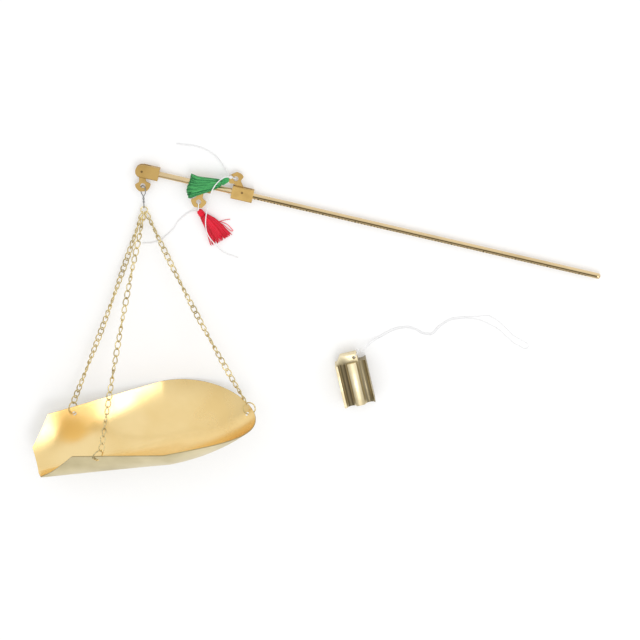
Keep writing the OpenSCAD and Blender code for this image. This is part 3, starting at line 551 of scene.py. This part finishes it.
# %% Metal for the carried-over parts
CARRIED = {
    beam_brass: ["beam_rod_head", "beam_rod_middle", "beam_tip_cap"],
    block_brass: ["load_clevis", "main_clevis", "second_clevis", "load_hanger", "main_hanger",
                  "second_hanger"],
    pin_brass: ["load_pin", "main_pin", "second_pin"],
    chain_brass: ["chain_top_ring", "pan_ring_near", "pan_ring_far", "pan_ring_end"],
}
for material, names in CARRIED.items():
    for name in names:
        data = NODES[name].data
        data.materials.clear()
        data.materials.append(material)
print("carried over", sum(len(names) for names in CARRIED.values()))

# %% [markdown]
# The scale rod is a drawn brass rod with its weights punched into it as dots in a row along one
# flank. A dent is cut out of the rod's own skin: the rod is a cylinder divided along its length,
# and at each mark the faces of the flank are inset and pushed in. Every fifth mark is longer, and
# every tenth longer still. A dull dark band runs along the top of the rod: it is a painted dark
# reflection, which also darkens away the lamp's highlight there. A value on the mesh says where
# it is, and the metal's material darkens and roughens the rod there.

# %% Scale rod
ROD_R = 1.9 * MM
ROD_SIDES = 40
MARK_FIRST, MARK_STEP, MARK_HALF = 11.4 * MM, 2.2 * MM, 0.40 * MM
MARK_STOP = 4 * MM
low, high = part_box("beam_rod_scale")
low[0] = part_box("main_clevis")[1][0]    # what is seen of it starts at the clevis's face
axis = Vector(((low[0] + high[0]) / 2, (low[1] + high[1]) / 2, (low[2] + high[2]) / 2))
bpy.ops.object.select_all(action="DESELECT")
bpy.ops.mesh.primitive_cylinder_add(vertices=ROD_SIDES, radius=ROD_R, depth=high[0] - low[0],
                                    end_fill_type="NGON", location=axis,
                                    rotation=(0, math.pi / 2, 0))
scale_rod = bpy.context.object
scale_rod.name = "scale_rod_with_marks"
settle(scale_rod)
only(scale_rod)
bpy.ops.object.mode_set(mode="EDIT")
bpy.ops.mesh.select_all(action="SELECT")
last_mark = int((high[0] - MARK_STOP - MARK_FIRST) / MARK_STEP)
marks = [MARK_FIRST + k * MARK_STEP for k in range(-1, last_mark)]
for x in marks:
    for edge in (x - MARK_HALF, x + MARK_HALF):
        bpy.ops.mesh.select_all(action="SELECT")
        bpy.ops.mesh.bisect(plane_co=(edge, 0, 0), plane_no=(1, 0, 0))
bpy.ops.object.mode_set(mode="OBJECT")
print("marks", len(marks))

# %% Punch the dots
MARK_ROWS, FIFTH_ROWS, TENTH_ROWS = {-7, -6, -5}, {-4}, {-3, -8}
DENT_RIM, DENT_DEPTH = 0.03 * MM, 0.22 * MM
ROW_TURN = 360 / ROD_SIDES
punched = bmesh.new()
punched.from_mesh(scale_rod.data)
dots = []
for face in punched.faces:
    centre = face.calc_center_median()
    if abs(face.normal.x) > 0.5:
        continue
    nearest = min(range(len(marks)), key=lambda k: abs(marks[k] - centre.x))
    if abs(marks[nearest] - centre.x) > MARK_HALF / 2:
        continue
    turn = math.degrees(math.atan2(centre.y - axis.y, centre.z - axis.z))
    row = round(turn / ROW_TURN - 0.5)
    count = nearest - 1
    wanted = set(MARK_ROWS)
    if count % 5 == 0:
        wanted |= FIFTH_ROWS
    if count % 10 == 0:
        wanted |= TENTH_ROWS
    if row in wanted:
        dots.append(face)
bmesh.ops.inset_individual(punched, faces=dots, thickness=DENT_RIM)
for face in dots:
    middle = face.calc_center_median()
    inwards = Vector((0, axis.y - middle.y, axis.z - middle.z)).normalized()
    for corner in face.verts:
        corner.co += inwards * DENT_DEPTH
punched.to_mesh(scale_rod.data)
punched.free()
recalculated(scale_rod)
only(scale_rod)
bpy.ops.object.shade_smooth_by_angle(angle=math.radians(30))
print("dots punched", len(dots))

# %% Marks' dark floors, and the painted dark reflection band
DENT_SEEN = 0.08 * MM
PAINTED_BAND_TURN, PAINTED_BAND_REACH, PAINTED_BAND_EDGE = 0, 20, 1.5
dark_marks = metal("dark_marks", (0.13, 0.08, 0.03), (0.07, 0.045, 0.02), tone_scale=300,
                   smooth=0.5, rough=0.7)
scale_rod.data.materials.append(beam_brass)
scale_rod.data.materials.append(dark_marks)
for face in scale_rod.data.polygons:
    out = math.hypot(face.center.y - axis.y, face.center.z - axis.z)
    if abs(face.normal.x) < 0.99 and out < ROD_R - DENT_SEEN:
        face.material_index = 1
# Painted dark reflection: a band full along the top of the rod, fading out towards the flanks.
painted_shade = scale_rod.data.attributes.new("painted_shade", "FLOAT", "POINT")
for corner in scale_rod.data.vertices:
    turn = math.degrees(math.atan2(corner.co.y - axis.y, corner.co.z - axis.z))
    share = PAINTED_BAND_EDGE * (1 - abs(turn - PAINTED_BAND_TURN) / PAINTED_BAND_REACH)
    painted_shade.data[corner.index].value = max(0, min(1, share))
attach(scale_rod, "beam")
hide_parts("beam_rod_scale")
print("scale rod faces", len(scale_rod.data.polygons))

# %% [markdown]
# The pan is one sheet of brass, folded up at its sides and round its back, with a flat bottom
# line that rises a little to the open lip. It is made as a flat grid whose one direction runs
# along the rim and the other from the bottom line out to the rim; a formula folds it to shape,
# Solidify gives the sheet its thickness, and three holes are drilled for the rings.

# %% Pan surface
FRONT_HALF, WIDE_HALF, ROUND_FROM, PAN_LENGTH = 22 * MM, 38.5 * MM, 92 * MM, 152 * MM
FAR_LIP_HALF, NEAR_LIP_HALF = 13 * MM, 9 * MM
FAR_CUT, NEAR_CUT, FAR_SKEW, NEAR_SKEW = 14 * MM, 32 * MM, -1.5 * MM, 3.5 * MM
FRONT_WALL, SIDE_WALL, BACK_WALL, LIP_RISE = 32 * MM, 28.5 * MM, 13 * MM, 1 * MM
LIP_REF = 16 * MM
WALL_POWER = 2.7
SHEET = 0.6 * MM


def half_width(u):
    """Half the pan's width at the rim, u from the lip."""
    return FRONT_HALF + (WIDE_HALF - FRONT_HALF) * (u - LIP_REF) / (ROUND_FROM - LIP_REF)


def side_spot(u, side, r):
    """A point of the pan's side: u runs along the pan, r from the bottom line to the rim."""
    if side > 0:
        cut, lip, skew = FAR_CUT, FAR_LIP_HALF, FAR_SKEW
    else:
        cut, lip, skew = NEAR_CUT, NEAR_LIP_HALF, NEAR_SKEW
    span = (lip + (half_width(cut) - lip) * u / cut) / half_width(u) if u < cut else 1
    p = r * span
    forward = skew * r * max(0, 1 - u / cut)
    floor_line = LIP_RISE * max(0, 1 - u / ROUND_FROM) ** 2
    wall = FRONT_WALL + (SIDE_WALL - FRONT_WALL) * (u - LIP_REF) / (ROUND_FROM - LIP_REF)
    return Vector((u + forward, side * half_width(u) * p,
                   floor_line + (wall - floor_line) * p ** WALL_POWER))


def back_spot(turn, r):
    """A point of the pan's rounded back, turn from -90 to 90 degrees."""
    wall = SIDE_WALL + (BACK_WALL - SIDE_WALL) * math.cos(turn) ** 2
    return Vector((ROUND_FROM + r * (PAN_LENGTH - ROUND_FROM) * math.cos(turn),
                   r * WIDE_HALF * math.sin(turn), wall * r ** WALL_POWER))


PAN_PLACE = Matrix.Translation(Vector((-91.2, -215.2, 25.33)) * MM) @ (
    Matrix.Rotation(math.radians(24.5), 4, "Z") @ Matrix.Rotation(math.radians(-67.6), 4, "X"))
ALONG_SIDE, ROUND_BACK, OUTWARDS = 46, 56, 30


def pan_spot(c, r):
    """c runs 0 to 1 along the rim: near side, back, far side."""
    place = c * (2 * ALONG_SIDE + ROUND_BACK)
    if place <= ALONG_SIDE:
        return side_spot(ROUND_FROM * place / ALONG_SIDE, -1, r)
    if place >= ALONG_SIDE + ROUND_BACK:
        return side_spot(ROUND_FROM * (2 * ALONG_SIDE + ROUND_BACK - place) / ALONG_SIDE, 1, r)
    return back_spot(math.pi * ((place - ALONG_SIDE) / ROUND_BACK - 0.5), r)


# %% Fold the sheet
RIM_CROWDING = 0.75
bpy.ops.object.select_all(action="DESELECT")
bpy.ops.mesh.primitive_grid_add(x_subdivisions=2 * ALONG_SIDE + ROUND_BACK, y_subdivisions=OUTWARDS,
                                size=1)
pan = bpy.context.object
pan.name = "folded_scoop_pan"
for corner in pan.data.vertices:
    c, r = corner.co.x + 0.5, corner.co.y + 0.5
    corner.co = PAN_PLACE @ pan_spot(c, r ** RIM_CROWDING)
recalculated(pan)
on_floor, above_floor = PAN_PLACE @ Vector((0.06, 0, 0)), PAN_PLACE @ Vector((0.06, 0, 0.02))
face = min(pan.data.polygons, key=lambda f: (f.center - on_floor).length)
if face.normal.dot(above_floor - face.center) < 0:
    only(pan)
    bpy.ops.object.mode_set(mode="EDIT")
    bpy.ops.mesh.select_all(action="SELECT")
    bpy.ops.mesh.flip_normals()
    bpy.ops.object.mode_set(mode="OBJECT")
for material in (pan_brass, pan_outside_shaded, pan_edge):
    pan.data.materials.append(material)
wall = pan.modifiers.new("sheet", "SOLIDIFY")
wall.material_offset, wall.material_offset_rim = 1, 2
wall.thickness = SHEET
wall.offset = -1
wall.use_even_offset = True
finish_modifiers(pan)
print("pan faces", len(pan.data.polygons))

# %% Drill the ring holes
# e is a small step along the rim, which tells the drill its direction; at the back it is a turn.
HOLE_D, HOLE_IN, DRILL_LONG = 2.9 * MM, 4.8 * MM, 8 * MM
NEAR_HOLE, FAR_HOLE, BACK_HOLE = 47.5 * MM, 31 * MM, math.radians(13)
for spot_of in (lambda r, e=0: side_spot(NEAR_HOLE + e, -1, r),
                lambda r, e=0: side_spot(FAR_HOLE + e, 1, r),
                lambda r, e=0: back_spot(BACK_HOLE + e * 10, r)):
    r = 1 - 0.05 * HOLE_IN / (spot_of(1) - spot_of(0.95)).length
    centre = spot_of(r)
    upwards = (spot_of(1) - centre).normalized()
    across = upwards.cross(spot_of(r, 0.0005) - centre).normalized()
    bpy.ops.object.select_all(action="DESELECT")
    bpy.ops.mesh.primitive_cylinder_add(vertices=32, radius=HOLE_D / 2, depth=DRILL_LONG)
    drill = bpy.context.object
    drill.matrix_world = (PAN_PLACE @ Matrix.Translation(centre)
                          @ across.to_track_quat("Z", "Y").to_matrix().to_4x4())
    cut = pan.modifiers.new("ring_hole", "BOOLEAN")
    cut.operation = "DIFFERENCE"
    cut.solver = "EXACT"
    cut.object = drill
    finish_modifiers(pan)
    bpy.data.objects.remove(drill, do_unlink=True)
only(pan)
bpy.ops.object.shade_smooth_by_angle(angle=math.radians(35))
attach(pan, "pan")
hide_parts("scoop_pan")
print("pan with holes", len(pan.data.polygons))

# %% [markdown]
# The three chains are curb chains: each link is an oval of round wire whose two ends are
# turned apart, so that it lies flat against the next. One smooth link is modelled once. Where
# each link of the model stands is read from its loose shells: a shell's middle is the link's
# place, and its longest, middle and shortest directions are the link's own axes.

# %% One smooth link
LINK_WIRE, LINK_LONG, LINK_WIDE, LINK_TURN = 0.8 * MM, 6.6 * MM, 4.2 * MM, math.radians(34)
LINK_STEPS, LINK_SIDES = 28, 8


def link_line():
    """The closed middle line of one link, along its own X, with its ends turned apart."""
    out = []
    for i in range(LINK_STEPS):
        a = 2 * math.pi * i / LINK_STEPS
        turn = LINK_TURN * math.cos(a)
        y = (LINK_WIDE - LINK_WIRE) / 2 * math.sin(a)
        out.append(((LINK_LONG - LINK_WIRE) / 2 * math.cos(a), y * math.cos(turn), y * math.sin(turn)))
    return np.array(out)


def closed_tube(line, radius, sides):
    """A ring of wire along a closed line."""
    n = len(line)
    way = np.roll(line, -1, 0) - np.roll(line, 1, 0)
    way /= np.linalg.norm(way, axis=1)[:, None]
    out = line - line.mean(0)
    out = out - (out * way).sum(1)[:, None] * way
    out /= np.linalg.norm(out, axis=1)[:, None]
    up = np.cross(out, way)
    verts = [line[i] + radius * (math.cos(a) * out[i] + math.sin(a) * up[i])
             for i in range(n) for a in np.arange(sides) * 2 * math.pi / sides]
    faces = [(i * sides + k, i * sides + (k + 1) % sides, ((i + 1) % n) * sides + (k + 1) % sides,
              ((i + 1) % n) * sides + k) for i in range(n) for k in range(sides)]
    return np.array(verts), [face[::-1] for face in faces]


LINK_VERTS, LINK_FACES = closed_tube(link_line(), LINK_WIRE / 2, LINK_SIDES)


# %% Chains of smooth links
def shells_of(node):
    """The separate shells of a CAD node, each as an array of its points."""
    piece = bpy.data.objects.new("shells", NODES[node].data.copy())
    bpy.context.collection.objects.link(piece)
    recalculated(piece)
    links_at = list(range(len(piece.data.vertices)))

    def root(i):
        while links_at[i] != i:
            links_at[i] = links_at[links_at[i]]
            i = links_at[i]
        return i

    for edge in piece.data.edges:
        links_at[root(edge.vertices[0])] = root(edge.vertices[1])
    groups = {}
    for corner in piece.data.vertices:
        groups.setdefault(root(corner.index), []).append(tuple(corner.co))
    bpy.data.objects.remove(piece, do_unlink=True)
    return [np.array(points) for points in groups.values()]


def link_axes(points):
    """The middle of a link and its own axes, longest first, from the spread of its points."""
    middle = points.mean(0)
    _, axes = np.linalg.eigh((points - middle).T @ (points - middle))
    x, y = axes[:, 2], axes[:, 1]
    return middle, np.array([x, y, np.cross(x, y)])


for node in ("chain_near", "chain_far", "chain_end"):
    shells = []
    for points in shells_of(node):
        middle, axes = link_axes(points)
        shells.append((middle + LINK_VERTS @ axes, LINK_FACES))
    chain = joined_piece(node + "_links", shells)
    chain.data.materials.append(chain_brass)
    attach(chain, "pan")
    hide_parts(node)
    print(chain.name, len(shells), "links")

# %% [markdown]
# The wire link that joins the beam's hanger to the chains' top ring is one soft steel wire,
# bent to an eye, twisted on itself and closed in a loop. The model has its facets already in
# the right place, so a merged copy rounded by subdivision gives the smooth wire.

# %% Wire link
wire = smoothed_copy("wire_link", "twisted_wire_link")
wire.data.materials.append(steel)
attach(wire, "pan")
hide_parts("wire_link")
print("wire link faces", len(wire.data.polygons))

# %% [markdown]
# A string goes through each hanger's hole and through the poise's eye, and is knotted there.
# The loops are twisted like the free strings. A knot is a real overhand knot: a trefoil line
# swept with the same string, drawn up tight.

# %% Loops and knots
GREEN_LOOP = [(-9.75, 9.65, 5.25), (-10.83, 9.86, 4.85), (-11.13, 9.92, 3.3), (-11.2, 9.93, 2.17),
              (-10.42, 9.78, 1.57), (-8.66, 9.44, 1.52), (-6.81, 9.08, 1.57), (-6.07, 8.93, 2.17),
              (-5.93, 8.91, 3), (-6.07, 8.93, 3.92), (-6.81, 9.08, 4.42), (-7.69, 9.25, 4.58),
              (-8.87, 9.48, 5.75)]
RED_LOOP = [(-25.43, -17.78, 1.9), (-25.67, -16.58, 2.17), (-25.83, -15.79, 1.57),
            (-26.11, -14.38, 1.52), (-26.41, -12.87, 1.57), (-26.56, -12.14, 2.17),
            (-26.59, -11.99, 3), (-26.56, -12.14, 3.92), (-26.41, -12.87, 4.42),
            (-26.24, -13.76, 4.58), (-25.82, -15.82, 4.45), (-25.49, -17.48, 3.3)]
POISE_LOOP = [(99.93, -85.51, 9.1), (99.66, -86.15, 11.25), (99.28, -87.08, 11.95),
              (98.21, -89.66, 11.95), (97.96, -90.26, 11.25), (97.9, -90.4, 7.5),
              (97.96, -90.26, 3.75), (98.21, -89.66, 3.05), (99.2, -87.26, 3.05),
              (99.51, -86.52, 3.95), (99.58, -86.34, 6.7), (99.93, -85.51, 8.4)]
KNOT_POINTS, KNOT_SIDES, KNOT_TURN, KNOT_TILT = 72, 10, 25, 40


def knot(name, place, size, thickness):
    """A trefoil drawn up tight, size across, of string of that thickness."""
    a = np.linspace(0, 2 * math.pi, KNOT_POINTS, endpoint=False)
    ring = size / 2 - thickness / 2
    big, small = 0.60 * ring, 0.40 * ring
    out = big + small * np.cos(3 * a)
    line = np.column_stack([out * np.cos(2 * a), out * np.sin(2 * a), 1.1 * small * np.sin(3 * a)])
    turned = np.array(Matrix.Rotation(math.radians(KNOT_TURN), 3, "X")
                      @ Matrix.Rotation(math.radians(KNOT_TILT), 3, "Y"))
    line = line @ turned.T * MM + np.array(place) * MM
    line = np.vstack([line, line[:2]])
    return mesh_piece(name, *swept(line, thickness * MM / 2, KNOT_SIDES))


for name, route, thickness, node, body in (
        ("green_tied_loop", GREEN_LOOP, STRING, "green_string_loop", "green_tassel"),
        ("red_tied_loop", RED_LOOP, STRING, "red_string_loop", "red_tassel"),
        ("poise_tied_loop", POISE_LOOP, THREAD, "poise_string_loop", "poise")):
    piece, _ = twisted(name, route, thickness)
    piece.data.materials.append(cotton)
    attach(piece, body)
    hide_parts(node)
for name, place, size, thickness, node, body in (
        ("green_overhand_knot", (-9.36, 9.57, 5.25), 2.7, STRING, "green_knot", "green_tassel"),
        ("red_overhand_knot", (-25.43, -17.78, 2.3), 2.7, STRING, "red_knot", "red_tassel"),
        ("poise_overhand_knot", (99.93, -85.51, 8.7), 2.3, THREAD * 1.2, "poise_knot", "poise")):
    piece = knot(name, place, size, thickness)
    piece.data.materials.append(cotton)
    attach(piece, body)
    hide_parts(node)
print("loops and knots made")

# %% [markdown]
# A tassel is a bundle of silk threads, bound at the head and cut straight at its end. It is
# made thread by thread: each thread is a thin three-sided rod that keeps its own place across
# the bundle while the bundle spreads, and wanders a little. The rows below are the model's
# own sections: one edge, the other edge, height and half thickness, in millimetres.

# %% Tassel sections
GREEN_ROWS = [((-15.1, 6.8), (-14.2, 2.9), 8.4, 1.9), ((-17.4, 7), (-17.3, 0.1), 8.3, 1.9),
              ((-21, 6.7), (-21.4, -2.8), 8.1, 1.75), ((-25.8, 6.2), (-26.2, -5.8), 7.9, 1.55),
              ((-30.6, 5.8), (-30.2, -8.5), 7.8, 1.45), ((-35.38, 6.77), (-33.02, -10.67), 7.7, 1.35)]
RED_ROWS = [((-23.6, -22.4), (-20.1, -18.6), 2.3, 2), ((-22.2, -24.8), (-16.8, -19.4), 2.25, 2.1),
            ((-20, -28), (-13.2, -20.6), 2.2, 2.1), ((-17.6, -32), (-8.9, -23), 2, 1.9),
            ((-15.2, -35.8), (-5, -25.7), 1.75, 1.65), ((-13.23, -39.87), (-0.97, -28.13), 1.5, 1.4)]


WANDER, EDGE_MOST, SECTION_STEP, TIP_SHARE = 0.07, 0.98, 3.2, 0.8


def bundle(rows, count, thick, seed, scatter, share, bulge):
    """The threads of one tassel, as shells. share gives how many threads a place across the
    bundle keeps, from 0 to 1, and bulge how much further they reach there, in millimetres."""
    rng = random.Random(seed)
    rows = [(np.array(a), np.array(b), z, h) for a, b, z, h in rows]
    shells = []
    while len(shells) < count:
        turn = rng.uniform(0, 2 * math.pi)
        depth = math.sqrt(rng.uniform(0.25, 1.0))
        wander = rng.uniform(-WANDER, WANDER)
        reach = rng.uniform(-scatter, scatter * 0.4)
        if rng.random() > share(depth * math.cos(turn)):
            continue
        line = []
        for j, (a, b, z, h) in enumerate(rows):
            t = j / (len(rows) - 1)
            across = depth * math.cos(turn) * 0.97 + wander * math.sin(3 * t + len(shells))
            across = max(-EDGE_MOST, min(EDGE_MOST, across))
            limit = math.sqrt(max(0.0, 1 - across * across))
            up = max(-limit, min(limit, depth * math.sin(turn) * 0.92))
            middle, half = (a + b) / 2, (b - a) / 2
            line.append(np.array([*(middle + half * across), z + h * up]))
        last = line[-1] - line[-2]
        length = np.linalg.norm(last)
        line[-1] = line[-2] + last * (1 + (reach + bulge(across)) / length)
        run = smooth_line(np.array(line) * MM, SECTION_STEP * MM)
        shells.append(swept(run, thick * MM / 2, 3, taper=[1.0] * (len(run) - 1) + [TIP_SHARE]))
    return shells


def tassel(name, shells, seed, node, body, material):
    """One piece from the shells, with a tone of its own on each thread."""
    threads = joined_piece(name, shells)
    rng = random.Random(seed)
    tones = np.concatenate([np.full(len(points), rng.random()) for points, _ in shells])
    threads.data.attributes.new("strand", "FLOAT", "POINT").data.foreach_set("value", tones)
    threads.data.materials.append(material)
    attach(threads, body)
    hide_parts(node)
    print(name, len(shells), "threads", len(threads.data.polygons), "faces")


GREEN_THREADS = bundle(GREEN_ROWS, 600, 0.46, 5, 1.0, share=lambda across: 1,
                       bulge=lambda across: 2.0 * math.exp(-((across - 0.25) / 0.5) ** 2))
RED_THREADS = bundle(RED_ROWS, 300, 0.46, 9, 2.6, bulge=lambda across: 0.3,
                     share=lambda across: 1 if across > -0.35 else 0.16)

# %% [markdown]
# A few red threads have come away from the bundle: some hang straight at its left side, one
# sticks out to the right and one has sprung into a loop. They lie on the table.

# %% Loose threads and the two tassels
STRAY_R = 0.22 * MM
STRAY_THREADS = [
    [(-22.2, -22.4, 2.3), (-19.6, -26.6, 2.6), (-17.0, -31.2, 1.6), (-12.6, -39.5, 0.35)],
    [(-21.6, -22.6, 2.2), (-18.2, -27.4, 2.8), (-14.3, -33.2, 1.8), (-10.7, -39.1, 0.4)],
    [(-21.0, -22.6, 2.0), (-16.3, -27.0, 3.0), (-12.1, -32.7, 2.6), (-8.2, -37.1, 1.2)],
    [(-21.8, -22.2, 2.1), (-19.9, -25.8, 2.4), (-15.4, -32.8, 1.2), (-12.4, -36.1, 0.5)],
    [(-19.0, -20.4, 1.6), (-14.2, -21.9, 1.0), (-10.5, -22.3, 0.5), (-7.3, -20.7, 0.3),
     (-3.7, -19.3, 0.3)],
    [(-18.6, -20.8, 1.4), (-13.6, -22.2, 0.9), (-9.2, -22.3, 0.5), (-4.8, -23.2, 0.3),
     (-1.0, -25.7, 0.3), (-0.1, -26.5, 0.3), (-0.7, -26.9, 0.35), (-2.6, -26.3, 0.6),
     (-5.4, -24.9, 0.9), (-8.6, -23.3, 1.0)]]
for route in STRAY_THREADS:
    run = smooth_line(np.array(route) * MM, 0.8 * MM)
    RED_THREADS.append(swept(run, STRAY_R, 5))
tassel("green_silk_tassel", GREEN_THREADS, 3, "green_tassel", "green_tassel", green_silk)
tassel("red_silk_tassel", RED_THREADS, 4, "red_tassel", "red_tassel", red_silk)

# %% [markdown]
# The head of a tassel is the same bundle folded over and bound. Its body is a rounded shape
# with ridges where the threads run over it, and a binding thread is wound round its middle.

# %% Tassel heads
HEAD_WIDTH, HEAD_RIDGES, RIDGE_DEPTH = 4.6, 18, 0.05
BINDING_TURNS, BINDING_R = 5, 0.22 * MM


def bound_head(name, start, end, node, body, material):
    """A tassel's head from start to end, in millimetres, with the thread that binds it."""
    start, end = Vector(start) * MM, Vector(end) * MM
    along = (end - start).normalized()
    length = (end - start).length
    place = Matrix.Translation(start) @ along.to_track_quat("Z", "Y").to_matrix().to_4x4()
    bpy.ops.object.select_all(action="DESELECT")
    bpy.ops.mesh.primitive_uv_sphere_add(segments=72, ring_count=24, radius=1)
    head = bpy.context.object
    head.name = name
    radius = HEAD_WIDTH * MM / 2
    for corner in head.data.vertices:
        p = corner.co
        turn = math.atan2(p.y, p.x)
        ridge = 1 + RIDGE_DEPTH * math.cos(HEAD_RIDGES * turn) * math.hypot(p.x, p.y)
        z = p.z * radius * 0.94 if p.z < 0 else p.z * length
        r = math.hypot(p.x, p.y) ** (1 if p.z < 0 else 0.35) * radius * 0.86 * ridge
        corner.co = place @ Vector((r * math.cos(turn), r * math.sin(turn), z))
    head.data.shade_smooth()
    head.data.materials.append(material)
    a = np.linspace(0, 2 * math.pi * BINDING_TURNS, 30 * BINDING_TURNS)
    coil = np.column_stack([np.cos(a) * radius * 0.90, np.sin(a) * radius * 0.90,
                            length * (0.25 + 0.5 * a / a[-1])])
    coil = np.array([place @ Vector(p) for p in coil])
    binding = mesh_piece(name + "_binding", *swept(coil, BINDING_R, 8))
    binding.data.materials.append(material)
    for piece in (head, binding):
        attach(piece, body)
        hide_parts(node)


bound_head("green_bound_head", (-12.1, 7.1, 5.7), (-15.4, 4.7, 8), "green_tassel_head",
           "green_tassel", green_head_silk)
bound_head("red_bound_head", (-24.1, -18.6, 2.3), (-21.6, -20.8, 2.3), "red_tassel_head",
           "red_tassel", red_head_silk)
print("heads made")

# %% [markdown]
# The poise is a heavy fluted brass bar. Its edges were eased with a file, so a merged copy of
# the exact solid gets a narrow bevel, which catches a line of light along each edge. Painted
# shade lies in the flutes, and a painted dark reflection along one edge; a value on the mesh says
# how much, and the metal reads it.

# %% Poise
EASED = 0.35 * MM
poise = bpy.data.objects.new("fluted_poise", NODES["poise"].data.copy())
bpy.context.collection.objects.link(poise)
poise.data.materials.clear()
recalculated(poise)
easing = poise.modifiers.new("eased_edges", "BEVEL")
easing.width = EASED
easing.segments = 3
easing.limit_method = "ANGLE"
easing.angle_limit = math.radians(40)
finish_modifiers(poise)
only(poise)
bpy.ops.object.shade_smooth_by_angle(angle=math.radians(40))
poise.data.materials.append(poise_brass)
print("poise edges eased")

# %% Painted shade on the poise
POISE_PLACE = (Matrix.Translation(Vector((100.3, -126, 7.5)) * MM)
               @ Matrix.Rotation(math.radians(26.2), 4, "Z"))
HALF_THICK, POISE_LONG, POISE_EDGE = 7.5 * MM, 30 * MM, 19.7 * MM
UNSHADED_SKIN, SHADED_DEPTH, END_SLACK = 0.4 * MM, 1.6 * MM, 0.1 * MM
# Each pair is a place across the bar, in millimetres from its first edge, and how much painted shade is
# there.
SHADE_ACROSS = [(0, 0.1), (2.6, 0.5), (3.2, 1), (6.4, 1), (7.4, 0.1), (15.2, 0.1), (16.4, 0.85),
               (21.2, 0.8)]
to_poise = POISE_PLACE.inverted()
# Painted shade: darker in the flutes and along the far edge, none on the flat faces or past the ends.
painted_shade = poise.data.attributes.new("painted_shade", "FLOAT", "POINT")
for corner in poise.data.vertices:
    spot = to_poise @ corner.co
    share = float(np.interp(spot.x / MM, *zip(*SHADE_ACROSS)))
    deep = min(1, max(0, (HALF_THICK - UNSHADED_SKIN - abs(spot.z)) / SHADED_DEPTH))
    if spot.x > POISE_EDGE:
        deep = 1
    if not -END_SLACK < spot.y < POISE_LONG + END_SLACK:
        deep = 0
    painted_shade.data[corner.index].value = share * deep
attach(poise, "poise")
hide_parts("poise")
print("poise faces", len(poise.data.polygons))
